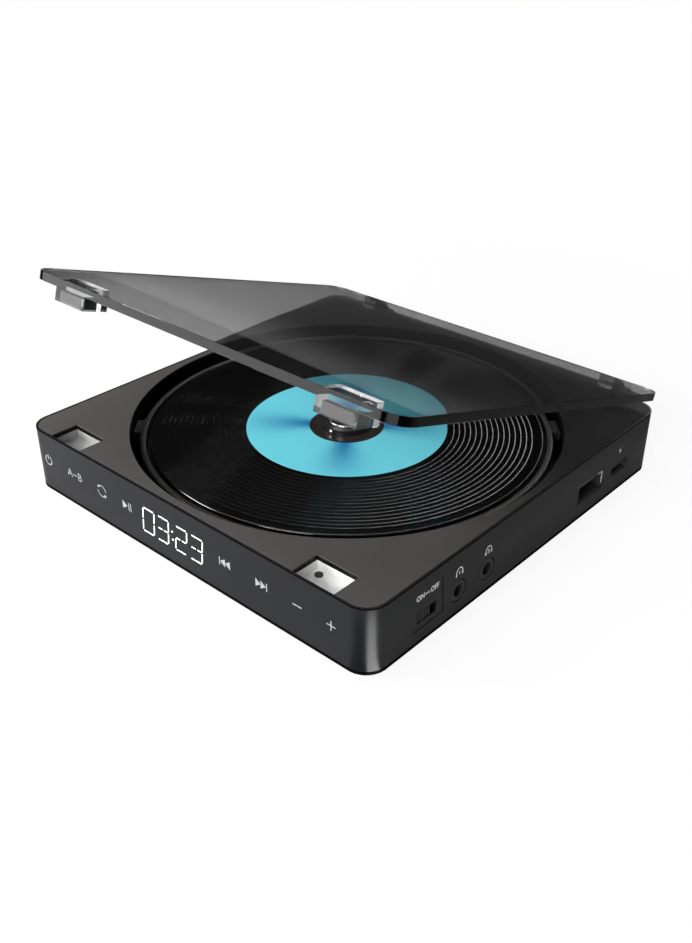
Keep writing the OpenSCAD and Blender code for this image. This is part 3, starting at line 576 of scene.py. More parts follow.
def grid_faces(rows: int, cols: int, wrap_rows: bool, wrap_cols: bool) -> np.ndarray:
    """Quads of a grid whose point (i, j) has the number i * cols + j.

    Args:
        rows: Points along the first way.
        cols: Points along the second way.
        wrap_rows: Whether the last row joins the first.
        wrap_cols: Whether the last column joins the first.

    Returns:
        One row of four point numbers for each quad.
    """
    i = np.arange(rows if wrap_rows else rows - 1)
    j = np.arange(cols if wrap_cols else cols - 1)
    i, j = (a.ravel() for a in np.meshgrid(i, j, indexing="ij"))
    i2, j2 = (i + 1) % rows, (j + 1) % cols
    return np.stack([i * cols + j, i2 * cols + j, i2 * cols + j2, i * cols + j2], 1)


def lathe(profile: np.ndarray, centre: Sequence[float], steps: int) -> tuple:
    """A closed profile turned about a vertical axis.

    The point at angle t is (cx + r cos t, cy + r sin t, cz + z) for each (r, z).

    Args:
        profile: Rows of radius and height, in metres, going round the section.
        centre: The axis' foot.
        steps: Points round the turn.

    Returns:
        Points and faces.
    """
    t = np.linspace(0, 2 * np.pi, steps, endpoint=False)[:, None]
    r, z = profile[None, :, 0], profile[None, :, 1]
    verts = np.stack([centre[0] + r * np.cos(t), centre[1] + r * np.sin(t),
                      centre[2] + z + 0 * t], -1).reshape(-1, 3)
    return verts, grid_faces(steps, len(profile), True, True)


def prism(outline: np.ndarray, low: float, high: float) -> tuple:
    """A flat outline given a thickness.

    Args:
        outline: Rows of two coordinates, going round once.
        low: The inner height.
        high: The outer height.

    Returns:
        Points with the height as third coordinate, and faces.
    """
    n = len(outline)
    verts = np.concatenate([np.c_[outline, np.full(n, low)],
                            np.c_[outline, np.full(n, high)]])
    k = np.arange(n)
    sides = np.stack([k, (k + 1) % n, (k + 1) % n + n, k + n], 1).tolist()
    return verts, sides + [k[::-1].tolist(), (k + n).tolist()]


def stroke(path: np.ndarray, width: float) -> np.ndarray:
    """The outline of a line of constant width along a path.

    Each point is moved half the width to both sides, across the mean of its two
    neighbouring directions, and lengthened at corners so that the width holds.

    Args:
        path: Rows of two coordinates.
        width: The line's width.

    Returns:
        The outline's points, going round once.
    """
    step = np.diff(path, axis=0)
    step /= np.linalg.norm(step, axis=1)[:, None]
    before, after = np.vstack([step[:1], step]), np.vstack([step, step[-1:]])
    mean = before + after
    mean /= np.linalg.norm(mean, axis=1)[:, None]
    across = np.c_[-mean[:, 1], mean[:, 0]]
    grow = 1.0 / np.maximum((mean * after).sum(1), 0.5)
    shift = across * (grow * width / 2)[:, None]
    return np.vstack([path + shift, (path - shift)[::-1]])


def arc(centre: Sequence[float], radius: float, start: float, end: float,
        points: int = 20) -> np.ndarray:
    """Points on a circle between two angles in degrees."""
    t = np.radians(np.linspace(start, end, points))
    return np.c_[centre[0] + radius * np.cos(t), centre[1] + radius * np.sin(t)]


def refined_copy(node: str, name: str, width: float, segments: int,
                 material: bpy.types.Material,
                 chosen: Callable[[np.ndarray], np.ndarray]) -> bpy.types.Object:
    """Copies a CAD node, merges it and rounds its chosen edges.

    Args:
        node: The CAD node.
        name: The new piece's name.
        width: The rounding's size in metres.
        segments: Faces across the rounding.
        material: The piece's material.
        chosen: Takes the middles of the sharp edges and says which are rounded.

    Returns:
        The new piece, which stands for the node.
    """
    source = frame["nodes"][node]
    work = bmesh.new()
    work.from_mesh(source.data)
    bmesh.ops.remove_doubles(work, verts=work.verts, dist=2e-6)
    bmesh.ops.dissolve_limit(work, angle_limit=math.radians(0.4), verts=work.verts,
                             edges=work.edges)
    sharp = [e for e in work.edges if len(e.link_faces) == 2
             and e.calc_face_angle(0.0) > math.radians(40)]
    ends = np.array([[v.co[:] for v in e.verts] for e in sharp]).reshape(-1, 2, 3)
    keep = chosen(ends[:, 0]) & chosen(ends[:, 1]) & chosen(ends.mean(1))
    edges = [e for e, k in zip(sharp, keep) if k]
    if edges and width > 0:
        bmesh.ops.bevel(work, geom=edges, offset=width, segments=segments,
                        affect="EDGES", profile=0.5, clamp_overlap=True)
    bmesh.ops.triangulate(work, faces=[f for f in work.faces if len(f.verts) > 4])
    mark_edges(work, 18.0)
    mesh = bpy.data.meshes.new(name)
    work.to_mesh(mesh)
    work.free()
    made = new_object(name, mesh, body_name(node), material)
    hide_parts(node)
    return made


def body_name(node: str) -> str:
    """The CAD body that a node belongs to."""
    bodies = frame["record"]["behaviour"]["bodies"]
    return next(body for body, nodes in bodies.items() if node in nodes)


def outline_distance(points: np.ndarray, centre_y: float, width: float, depth: float,
                     radius: float) -> np.ndarray:
    """Signed distance in plan from a rounded rectangle, negative inside.

    Args:
        points: Rows of X, Y, Z.
        centre_y: The rectangle's middle in Y.
        width: Its size along X.
        depth: Its size along Y.
        radius: Its corner radius.

    Returns:
        One distance for each point.
    """
    q = np.abs(points[:, :2] - (0.0, centre_y)) - (width / 2 - radius,
                                                   depth / 2 - radius)
    return np.linalg.norm(np.maximum(q, 0), axis=1) + np.minimum(q.max(1), 0) - radius


# ---------------------------------------------------------------- finishes

CASE_BLACK = Finish((0.010, 0.0104, 0.0118), rough=0.3, mottle=0.05, relief=0.06)
# The deck's dark grey; its class adds painted shade towards the back right.
DECK_BLACK_AND_SHADE = DeckPaint((0.076, 0.072, 0.069), rough=0.3, mottle=0.04, relief=0.05,
                       ior=1.22)
TRAY_BLACK = Finish((0.036, 0.036, 0.038), rough=0.3, relief=0.06)
HUB_BLACK = Finish((0.012, 0.011, 0.011), rough=0.18, relief=0.03)
DISC_BLACK = Finish((0.0015, 0.0015, 0.0015), rough=0.08, relief=0.0, mottle=0.04,
                    ior=1.8)
LID_SMOKE = SmokyClear((0.64, 0.64, 0.64), rough=0.0, grain=30.0, mottle=0.02, ior=1.49)
# The cups' steel, with painted shade on the left cup.
CUP_STEEL_AND_SHADE = CupSteel((0.92, 0.92, 0.91), rough=0.4, metal=0.15, grain=9000.0,
                        mottle=0.03, relief=0.01)
GLOW_WHITE = Glow((0.95, 0.96, 1.0), rough=0.5, power=0.95)
GLOW_SOFT = Glow((0.24, 0.24, 0.25), rough=0.5, power=1.0)
SIGN_WHITE = Finish((0.85, 0.85, 0.86), rough=0.5, grain=6000.0, mottle=0.1)
# A near black for engraved lines and seams, also laid as painted shadow under the case
# and at the jacks.
ENGRAVED_AND_SHADOW = Finish((0.002, 0.002, 0.002), rough=0.7, grain=6000.0, mottle=0.2,
                  ior=1.1)
LUG_DARK = Finish((0.012, 0.012, 0.013), rough=0.2, relief=0.02)
DISC_CLEAR = Finish((0.03, 0.024, 0.021), rough=0.12, relief=0.02)
RIM_SATIN = Finish((0.045, 0.044, 0.043), rough=0.3, relief=0.03)
RING_BRIGHT = BrushedMetal((0.62, 0.61, 0.6), rough=0.2, metal=1.0)
CAP_DARK = Finish((0.06, 0.055, 0.05), rough=0.15)

SLOT_FINISHES: dict[str, Finish] = {
    "case": CASE_BLACK,
    "cover": Finish((0.014, 0.014, 0.015), rough=0.5, relief=0.25),
    "black_screw": Finish((0.02, 0.02, 0.02), rough=0.35, metal=0.6, relief=0.1),
    "foot_rubber": Finish((0.012, 0.012, 0.012), rough=0.8, relief=0.35),
    "deck": DECK_BLACK_AND_SHADE,
    "strike_steel": CUP_STEEL_AND_SHADE,
    "sensor": Finish((0.006, 0.006, 0.006), rough=0.35, relief=0.05),
    "pin_steel": BrushedMetal((0.6, 0.6, 0.61), rough=0.22, metal=1.0),
    "lid": LID_SMOKE,
    "magnet": BrushedMetal((0.17, 0.17, 0.17), rough=0.35, metal=1.0, grain=3000.0),
    "tray": TRAY_BLACK,
    "screw": BrushedMetal((0.55, 0.55, 0.56), rough=0.3, metal=1.0),
    "chassis_steel": BrushedMetal((0.5, 0.51, 0.52), rough=0.38, metal=1.0,
                                  grain=4000.0),
    "damper_rubber": Finish((0.02, 0.02, 0.02), rough=0.75, relief=0.3),
    "motor_can": BrushedMetal((0.58, 0.58, 0.57), rough=0.3, metal=1.0,
                              stretch=(1.0, 1.0, 0.04)),
    "hub": HUB_BLACK,
    "ball_steel": Finish((0.8, 0.8, 0.8), rough=0.08, metal=1.0, relief=0.02),
    "disc": DISC_BLACK,
    "sled": Finish((0.03, 0.03, 0.034), rough=0.5, relief=0.2),
    "lens_holder": Finish((0.02, 0.022, 0.05), rough=0.12, relief=0.03),
    "circuit_board": Finish((0.005, 0.022, 0.012), rough=0.3, mottle=0.25,
                            grain=7000.0),
    "chip": Finish((0.012, 0.012, 0.013), rough=0.55, relief=0.2),
    "capacitor": BrushedMetal((0.62, 0.62, 0.64), rough=0.25, metal=1.0),
    "battery": Finish((0.06, 0.1, 0.18), rough=0.35, mottle=0.15),
    "port_steel": BrushedMetal((0.06, 0.06, 0.06), rough=0.35, metal=0.5),
    "port_white": Finish((0.13, 0.13, 0.11), rough=0.45),
    "port_black": Finish((0.012, 0.012, 0.012), rough=0.4),
    "jack": Finish((0.02, 0.0205, 0.0225), rough=0.32, relief=0.05),
    "switch_body": Finish((0.008, 0.008, 0.008), rough=0.5),
    "switch_knob": Finish((0.03, 0.03, 0.033), rough=0.35),
    "display": Finish((0.006, 0.006, 0.007), rough=0.15, relief=0.02),
    "lamp": Finish((0.8, 0.8, 0.78), rough=0.3),
    "light_guide": Finish((0.7, 0.7, 0.7), rough=0.4),
    "film": Finish((0.35, 0.15, 0.02), rough=0.35, mottle=0.2),
}


# ---------------------------------------------------------------- the player


@dataclass
class Measures:
    """The sizes that several classes share, read from the CAD frame.

    Attributes:
        case_low: The case's lowest corner, hinge ears left out.
        case_high: The case's highest corner, hinge ears left out.
        corner: The case's corner radius in metres.
        disc_centre: The disc's middle, at its top face.
    """

    case_low: Vector
    case_high: Vector
    corner: float
    disc_centre: tuple[float, float, float]

    @classmethod
    def read(cls) -> "Measures":
        """Takes the sizes from the CAD nodes' boxes."""
        low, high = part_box("case_shell")
        deck_low, deck_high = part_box("deck_plate")
        inset = deck_low.y - low.y
        return cls(low, Vector((high.x, deck_high.y + inset, high.z)), 6.5 * MM,
                   (*middle("disc")[:2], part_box("disc")[1].z))

    @property
    def middle_y(self) -> float:
        """The case's middle in Y."""
        return (self.case_low.y + self.case_high.y) / 2

    @property
    def width(self) -> float:
        """The case's size along X."""
        return self.case_high.x - self.case_low.x

    @property
    def depth(self) -> float:
        """The case's size along Y."""
        return self.case_high.y - self.case_low.y


@dataclass
class Casing:
    """The case and its deck, with their edges rounded as moulded.

    Attributes:
        sizes: The shared sizes.
        edge: The rounding of the case's outer edges.
        deck_edge: The rounding of the deck plate's edges.
        band: How far the dark seams reach over the case's side.
    """

    sizes: Measures
    edge: float = 0.14 * MM
    deck_edge: float = 0.1 * MM
    band: float = 0.42 * MM

    def build(self) -> None:
        """Makes the case and the deck from their CAD nodes, a dark seam at the top, and a
        dark band at the foot that is partly painted shadow.
        """
        dark = ENGRAVED_AND_SHADOW.build("seam_and_shadow_black")
        top, foot = self.sizes.case_high.z, self.sizes.case_low.z
        self.seam("top_seam", top - self.band, top - 0.01 * MM, dark)
        # Partly painted shadow: the case's dark lower edge, carried down into the shaded
        # gap between the case and the floor.
        self.seam("base_edge_and_gap_shadow", 0.12 * MM, foot + self.band, dark)
        refined_copy("case_shell", "case_body", self.edge, 3,
                     CASE_BLACK.build("case_black"), self.on_outside)
        refined_copy("deck_plate", "deck_panel", self.deck_edge, 2,
                     DECK_BLACK_AND_SHADE.build("deck_black_and_shade"), self.on_deck_top)

    def seam(self, name: str, low: float, high: float, material: bpy.types.Material
             ) -> None:
        """Lays a thin dark band round the case's outline.

        The outline is a small circle of the corner's radius whose points are pushed
        outwards along X and Y by half the straight sides.

        Args:
            name: The band's name.
            low: Its lower edge.
            high: Its upper edge.
            material: Its material.
        """
        s, steps = self.sizes, 96
        t = (np.arange(steps) + 0.5) * 2 * np.pi / steps
        unit = np.c_[np.cos(t), np.sin(t)]
        push = np.sign(unit) * (s.width / 2 - s.corner, s.depth / 2 - s.corner)
        loops = [np.c_[push + unit * (s.corner + out) + (0.0, s.middle_y),
                       np.full(steps, z)]
                 for out, z in ((0.02 * MM, low), (0.02 * MM, high),
                                (-0.4 * MM, high), (-0.4 * MM, low))]
        new_piece(name, (np.vstack(loops), grid_faces(4, steps, True, True)), "case",
                  material)

    def on_outside(self, points: np.ndarray) -> np.ndarray:
        """Picks the top and bottom edges round the case's outside."""
        s = self.sizes
        gap = np.abs(outline_distance(points, s.middle_y, s.width, s.depth, s.corner))
        top = np.abs(points[:, 2] - s.case_high.z) < 1e-5
        bottom = np.abs(points[:, 2] - s.case_low.z) < 1e-5
        return (gap < 2e-5) & (top | bottom)

    def on_deck_top(self, points: np.ndarray) -> np.ndarray:
        """Picks all the edges of the deck's upper face."""
        return np.abs(points[:, 2] - self.sizes.case_high.z) < 1e-5


@dataclass
class Lid:
    """The clear lid with its magnet blocks and lugs.

    Attributes:
        edge: The rounding of its edges.
        open_angle: How far it stands open at rest, in degrees.
        lug_place: How far each lug is from the middle.
        lug_half: Half a lug's width, and a little more.
        skin: How thick the dark skin on a lug's side is.
        bore_zone: How near the hinge's axis the edges stay sharp.
    """

    edge: float = 0.22 * MM
    open_angle: float = 18.1
    lug_place: float = 50.0 * MM
    lug_half: float = 2.53 * MM
    skin: float = 0.08 * MM
    bore_zone: float = 3.2 * MM

    @property
    def axis(self) -> np.ndarray:
        """The hinge axis' Y and Z in metres."""
        return middle("hinge_pins")[1:]

    def build(self) -> None:
        """Makes the clear moulding from its CAD node, and its lugs' dark sides."""
        refined_copy("lid_panel", "lid_clear", self.edge, 2,
                     LID_SMOKE.build("lid_smoke"), self.everywhere)
        self.lug_sides()

    def lug_sides(self) -> None:
        """Lays a thin dark skin on both sides of each lug.

        The lug's outline is measured from the hinge's axis with the lid shut, and
        turned by the lid's opening angle about that axis.
        """
        shut = np.array([(-8.9, 6.4), (-8.9, 1.8), (-2.6, -1.2), (0.9, 1.6),
                         (-7.3, 7.6)]) * MM
        a = math.radians(self.open_angle)
        turned = shut @ np.array([[math.cos(a), -math.sin(a)],
                                  [math.sin(a), math.cos(a)]]) + self.axis
        skins = []
        for lug in (-self.lug_place, self.lug_place):
            for side in (-1, 1):
                near, far = sorted((lug + side * self.lug_half,
                                    lug + side * (self.lug_half + self.skin)))
                verts, faces = prism(turned, near, far)
                skins.append((verts[:, [2, 0, 1]], faces))
        new_piece("lid_lug_sides", joined(skins), "lid",
                  LUG_DARK.build("lug_side_dark"))

    def everywhere(self, points: np.ndarray) -> np.ndarray:
        """Picks all the sharp edges but those round the hinge bores."""
        return ~(np.abs(points[:, 1:] - self.axis) < self.bore_zone).all(1)


@dataclass
class Disc:
    """The disc with its decorative grooves, its clear middle and its label.

    Attributes:
        sizes: The shared sizes.
        hole: The radius of the hole.
        clear_edge: The outer radius of the clear middle.
        groove_in: The innermost groove's radius.
        groove_out: The outermost groove's radius.
        pitch: The distance from groove to groove.
        slope: The width of each groove's sloping side.
        depth: The grooves' depth.
        label_colour: The label's colour.
        label_shade: The colour of its rays, a painted reflection.
    """

    sizes: Measures
    hole: float = 7.5 * MM
    clear_edge: float = 11.35 * MM
    groove_in: float = 32.6 * MM
    groove_out: float = 59.3 * MM
    pitch: float = 1.69 * MM
    slope: float = 0.52 * MM
    depth: float = 0.15 * MM
    label_colour: tuple[float, float, float] = (0.15, 0.66, 0.78)
    label_shade: tuple[float, float, float] = (0.01, 0.19, 0.42)

    def build(self) -> None:
        """Makes the grooved disc and its clear middle, and dresses the label."""
        low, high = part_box("disc")
        thick = high.z - low.z
        centre, hole, edge = self.sizes.disc_centre, self.hole, self.clear_edge
        section = self.section(edge + 0.05 * MM, (high.x - low.x) / 2, thick)
        grooved = new_piece("disc_grooved", lathe(section, centre, 256), "spindle",
                            DISC_BLACK.build("disc_black"))
        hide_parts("disc")
        ring = np.array([[hole, -thick], [edge, -thick], [edge, -0.02 * MM],
                         [8.6 * MM, -0.02 * MM], [8.3 * MM, -0.12 * MM],
                         [8.0 * MM, -0.02 * MM], [hole + 0.1 * MM, -0.02 * MM],
                         [hole, -0.12 * MM]])
        new_piece("disc_middle", lathe(ring, centre, 128), "spindle",
                  DISC_CLEAR.build("disc_middle"))
        label = PrintedLabel(self.label_colour, rough=0.32, relief=0.03,
                             shade=self.label_shade, centre=centre, turn=38.0)
        dress_node("disc_label", label.build("label_print_and_reflection"))

    def section(self, inner: float, outer: float, thick: float) -> np.ndarray:
        """The disc's section, with grooves on its upper face.

        Each groove slopes down and outwards along a quarter-bell curve, whose height
        is minus the depth times the square of the share of the slope, and then rises
        steeply to the next flat land. The outer edge is rounded above
        and chamfered below.

        Args:
            inner: The inner radius.
            outer: The outer radius.
            thick: The thickness.

        Returns:
            Rows of radius and height going round the section.
        """
        count = int((self.groove_out - self.groove_in) / self.pitch)
        share = np.linspace(0, 1, 6)
        one = np.vstack([[[0.0, 0.0]], np.c_[self.slope * share, -self.depth
                                             * (0.35 * share + 0.65 * share ** 2)],
                         [[self.slope + 0.03 * MM, 0.0]]])[1:]
        starts = self.groove_in + self.pitch * np.arange(count)
        top = (one[None] + np.c_[starts, np.zeros(count)][:, None]).reshape(-1, 2)
        chamfer = 0.35 * MM
        turn = np.linspace(0, np.pi / 2, 7)
        lip = np.c_[outer - 0.5 * MM * (1 - np.sin(turn)), -0.5 * MM * (1 - np.cos(turn))]
        head = [[inner, -thick], [inner, 0.0], [self.groove_in - 0.4 * MM, 0.0]]
        tail = [[outer, -thick + chamfer], [outer - chamfer, -thick]]
        return np.vstack([head, top, lip, tail])


@dataclass
class TrayRim:
    """The satin bead along the top of the tray's rim, round the disc.

    Attributes:
        sizes: The shared sizes.
        radius: The bead's mean radius.
        half: The bead's half width.
        rise: The bead's height over the rim.
    """

    sizes: Measures
    radius: float = 62.0 * MM
    half: float = 0.72 * MM
    rise: float = 0.28 * MM

    def build(self) -> None:
        """Turns a half-oval section round the disc's middle."""
        _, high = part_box("disc")
        x, y, _ = self.sizes.disc_centre
        t = np.linspace(0, np.pi, 11)
        section = np.c_[self.radius + self.half * np.cos(t), self.rise * np.sin(t)]
        new_piece("tray_rim_bead", lathe(section, (x, y, high.z - 0.3 * MM), 192),
                  "case", RIM_SATIN.build("tray_rim_satin"))


@dataclass
class Hub:
    """The dressed top of the turntable's hub: a bright ring and a small centre cap.

    Attributes:
        sizes: The shared sizes.
        ring: The bright ring's mean radius.
        bead: The ring's half width.
        cap: The cap's radius.
    """

    sizes: Measures
    ring: float = 5.3 * MM
    bead: float = 0.35 * MM
    cap: float = 2.4 * MM

    def build(self) -> None:
        """Lays the ring and the cap on the hub's top."""
        top = (*self.sizes.disc_centre[:2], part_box("turntable_hub")[1].z)
        t = np.linspace(0, np.pi, 9)
        bead = np.c_[self.ring + self.bead * np.cos(t), 0.22 * MM * np.sin(t)]
        new_piece("hub_ring", lathe(bead, top, 96), "spindle",
                  RING_BRIGHT.build("hub_bright"))
        t = np.linspace(0, np.pi / 2, 8)
        cap = np.vstack([np.c_[self.cap * np.cos(t), 0.45 * MM * np.sin(t)],
                         [[0.0, 0.0]]])
        cap[-2, 0] = 0.0
        new_piece("hub_cap", lathe(cap, top, 64), "spindle",
                  CAP_DARK.build("hub_cap"))


# ---------------------------------------------------------------- signs


@dataclass
class SignWriter:
    """Collects flat shapes on a face and makes them one thin piece.

    Attributes:
        face: The face that the shapes lie on.
        at: The face's own coordinate: Y for the front, X for the right.
        proud: How far the shapes stand out.
        weight: How much thicker the letters' lines are, in millimetres.
        shapes: The points and faces of each shape so far.
    """

    face: Face
    at: float
    proud: float = 0.012 * MM
    weight: float = 0.035
    shapes: list[tuple] = field(default_factory=list)

    def shape(self, outline: np.ndarray) -> None:
        """Adds a filled outline, in millimetres along and up the face."""
        self.shapes.append(prism(np.asarray(outline, float) * MM, -0.05 * MM,
                                 self.proud))

    def line(self, path: Sequence[Sequence[float]], width: float) -> None:
        """Adds a line of constant width along a path."""
        self.shape(stroke(np.asarray(path, float), width))

    def arrow(self, u: float, v: float, side: int, length: float, half: float) -> None:
        """Adds a small filled arrow head with its tip at a place.

        Args:
            u: The tip's place along the face.
            v: The tip's place up the face.
            side: 1 points along the face and -1 back.
            length: Its length.
            half: Half its height.
        """
        back = u - side * length
        self.shape([(u, v), (back, v + half), (back, v - half)][::side])

    def text(self, words: str, size: float, u: float, v: float, stretch: float = 1.0
             ) -> None:
        """Adds generic lettering, centred at a place on the face.

        Args:
            words: What it says.
            size: The lettering's size in millimetres.
            u: Its middle along the face.
            v: Its middle up the face.
            stretch: How wide it is drawn.
        """
        curve = bpy.data.curves.new("lettering", "FONT")
        curve.body, curve.size = words, size
        curve.align_x, curve.align_y = "CENTER", "CENTER"
        curve.resolution_u = 4
        curve.extrude = 0.03
        curve.offset = self.weight
        holder = bpy.data.objects.new("lettering", curve)
        mesh = bpy.data.meshes.new_from_object(holder)
        verts = np.array([p.co[:] for p in mesh.vertices]).reshape(-1, 3)
        verts[:, 0] = verts[:, 0] * stretch + u
        verts[:, 1] += v
        verts[:, 2] = np.where(verts[:, 2] > 0, self.proud / MM, -0.05)
        self.shapes.append((verts * MM, [list(p.vertices) for p in mesh.polygons]))
        bpy.data.objects.remove(holder)
        bpy.data.curves.remove(curve)
        bpy.data.meshes.remove(mesh)

    def finish(self, name: str, material: bpy.types.Material
               ) -> bpy.types.Object:
        """Makes the piece.

        Args:
            name: Its name.
            material: Its material.

        Returns:
            The new piece, riding on the case.
        """
        flat, faces = joined(self.shapes)
        if self.face is Face.FRONT:
            verts = np.c_[flat[:, 0], self.at - flat[:, 2], flat[:, 1]]
        else:
            verts = np.c_[self.at + flat[:, 2], flat[:, 0], flat[:, 1]]
        return new_piece(name, (verts, faces), "case", material, smooth=False)


@dataclass
class FrontSigns:
    """The lit touch icons and the clock on the front face.

    Attributes:
        sizes: The shared sizes.
        level: The icons' middle height in millimetres.
        pen: The icons' line width in millimetres.
    """

    sizes: Measures
    level: float = 10.9
    pen: float = 0.33

    def build(self) -> None:
        """Draws every icon and the clock as two thin lit pieces."""
        icons = SignWriter(Face.FRONT, self.sizes.case_low.y, weight=-0.04)
        spots = {Mark.POWER: -59.6, Mark.REPEAT_PART: -46.3, Mark.REPEAT: -33.2,
                 Mark.PLAY: -21.5, Mark.BACK: 19.1, Mark.NEXT: 32.5, Mark.MINUS: 45.2,
                 Mark.PLUS: 56.5}
        for mark, x in spots.items():
            self.icon(icons, mark, x)
        icons.finish("front_icons", GLOW_SOFT.build("icon_light"))
        clock = SignWriter(Face.FRONT, self.sizes.case_low.y)
        self.clock(clock)
        clock.finish("front_clock", GLOW_WHITE.build("sign_light"))

    def icon(self, on: SignWriter, mark: Mark, x: float) -> None:
        """Draws one icon about a middle at x.

        Args:
            on: Where it is drawn.
            mark: Which icon.
            x: Its middle in millimetres.
        """
        z, pen = self.level, self.pen
        if mark is Mark.POWER:
            on.line(arc((x, z), 1.5, 118, 422, 28), pen)
            on.line([(x, z + 0.35), (x, z + 2.0)], pen)
        elif mark is Mark.REPEAT_PART:
            on.text("A", 3.9, x - 2.4, z)
            on.text("B", 3.9, x + 2.4, z)
            on.line([(x - 0.85, z), (x + 0.85, z)], 0.26)
            for side in (-1, 1):
                on.arrow(x + side * 1.0, z, side, 0.45, 0.35)
        elif mark is Mark.REPEAT:
            for start in (-20, 160):
                on.line(arc((x, z), 1.85, start + 22, start + 150, 18), 0.28)
                tip = arc((x, z), 1.85, start + 160, start + 160, 1)[0]
                way = math.radians(start + 160 + 90)
                ahead = np.array([math.cos(way), math.sin(way)])
                side = np.array([-ahead[1], ahead[0]])
                base = tip - 0.45 * ahead
                on.shape([base + 0.6 * side, base - 0.6 * side, tip + 0.6 * ahead])
        elif mark is Mark.PLAY:
            on.shape([(x - 2.0, z - 1.35), (x + 0.1, z), (x - 2.0, z + 1.35)])
            for step in (0.75, 1.6):
                on.line([(x + step, z - 1.35), (x + step, z + 1.35)], pen)
        elif mark in (Mark.BACK, Mark.NEXT):
            side = 1 if mark is Mark.NEXT else -1
            on.line([(x + side * 2.05, z - 1.3), (x + side * 2.05, z + 1.3)], pen)
            for step in (1.75, -0.1):
                foot = x + side * (step - 1.85)
                on.shape([(x + side * step, z), (foot, z + side * 1.3),
                          (foot, z - side * 1.3)])
        else:
            on.line([(x - 1.5, z), (x + 1.5, z)], pen)
            if mark is Mark.PLUS:
                on.line([(x, z - 1.5), (x, z - 0.22)], pen)
                on.line([(x, z + 0.22), (x, z + 1.5)], pen)

    def clock(self, on: SignWriter) -> None:
        """Draws the slanted digits 03:23 from separate thin bars.

        Each bar runs between two corners of a leaning box, shortened by a small gap
        at both ends, and the middle bar is in two halves.
        """
        low, high, lean, gap, pen = 5.95, 13.85, 0.85, 0.3, 0.39
        bars = {"0": "abcdef", "3": "abcdg", "2": "abdeg"}
        for digit, left, wide in (("0", -14.5, 4.75), ("3", -8.15, 4.5),
                                  ("2", -0.6, 4.5), ("3", 5.6, 4.6)):
            corner = {}
            for i, x in enumerate((left, left + wide)):
                for j, z in enumerate((low, (low + high) / 2, high)):
                    shift = lean * (z - (low + high) / 2) / (high - low)
                    corner[i, j] = np.array([x + shift, z])
            ends = {"a": [(0, 2), (1, 2)], "b": [(1, 2), (1, 1)], "c": [(1, 1), (1, 0)],
                    "d": [(0, 0), (1, 0)], "e": [(0, 1), (0, 0)], "f": [(0, 2), (0, 1)],
                    "g": [(0, 1), (1, 1)]}
            for bar in bars[digit]:
                p, q = (corner[k] for k in ends[bar])
                way = (q - p) / np.linalg.norm(q - p)
                if bar == "g":
                    half = (p + q) / 2
                    on.line([p + gap * way, half - 0.35 * way], pen)
                    on.line([half + 0.35 * way, q - gap * way], pen)
                else:
                    on.line([p + gap * way, q - gap * way], pen)
        for z in (8.55, 11.15):
            on.shape(arc((-1.95, z), 0.33, 0, 330, 12))


@dataclass
class SideSigns:
    """The signs on the right face: switch words, socket signs, bolt and fine line, with
    painted shadow arcs at the jacks.

    Attributes:
        sizes: The shared sizes.
        pen: The signs' line width in millimetres.
    """

    sizes: Measures
    pen: float = 0.28

    def build(self) -> None:
        """Draws the white signs, the dark engraved line and the painted shadow arcs at
        the jacks.
        """
        white = SignWriter(Face.RIGHT, self.sizes.case_high.x)
        y, level = middle("hold_switch_body")[1] / MM, 14.6
        white.text("ON", 2.3, y - 2.7, level, 0.88)
        white.text("OFF", 2.3, y + 2.9, level, 0.82)
        white.line([(y - 0.8, level), (y + 0.7, level)], 0.24)
        for side in (-1, 1):
            white.arrow(y - 0.05 + side * 0.95, level, side, 0.55, 0.45)
        for number in (1, 2):
            y = middle(f"headphone_jack_{number}")[1] / MM
            self.headphones(white, y + 0.2, 13.7, str(number))
        self.bolt(white, middle("usb_c_shell")[1] / MM - 0.6, 14.4)
        low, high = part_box("usb_a_shell")
        end, low_z, high_z = high.y / MM - 0.3, low.z / MM, high.z / MM
        white.line([(end - 2.6, high_z - 0.15), (end, high_z - 0.15),
                    (end, low_z + 1.4)], 0.2)
        white.finish("side_signs", SIGN_WHITE.build("sign_white"))
        dark = SignWriter(Face.RIGHT, self.sizes.case_high.x, proud=0.004 * MM)
        dark.line([(-45.4, 16.1), (-44.5, 4.9), (-56.5, 4.8)], 0.36)
        # Painted shadow: a dark arc round the lower and back side of each jack's ring.
        for number in (1, 2):
            jack = f"headphone_jack_{number}"
            low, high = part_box(jack)
            dark.line(arc(middle(jack)[1:] / MM, (high.z - low.z) / 2 / MM + 0.1, -115,
                          62, 24), 0.34)
        dark.finish("side_line_and_jack_shadows", ENGRAVED_AND_SHADOW.build("engraved_line_and_shadow"))

    def headphones(self, on: SignWriter, y: float, z: float, number: str) -> None:
        """Draws a headband over two ear pads, with a number inside.

        Args:
            on: Where it is drawn.
            y: Its middle along the face.
            z: Its middle height.
            number: The socket's number.
        """
        on.line(arc((y, z), 1.25, -12, 192, 22), self.pen)
        for side in (-1, 1):
            on.line([(y + side * 1.3, z - 1.15), (y + side * 1.3, z - 0.1)], 0.5)
        on.text(number, 1.5, y, z - 0.35)

    def bolt(self, on: SignWriter, y: float, z: float) -> None:
        """Draws a small lightning bolt about a middle."""
        on.shape([(y + 0.35, z + 1.1), (y - 0.55, z - 0.15), (y - 0.05, z - 0.15),
                  (y - 0.35, z - 1.1), (y + 0.55, z + 0.15), (y + 0.05, z + 0.15)])


def dress_node(node: str, material: bpy.types.Material) -> None:
    """Gives a CAD node that stays in view a new material.

    Args:
        node: The CAD node.
        material: Its material.
    """
    shape = frame["nodes"][node]
    if shape.material_slots:
        for place in shape.material_slots:
            place.material = material
    else:
        shape.data.materials.append(material)
    LOG.info("%s: dressed as %s", node, material.name)


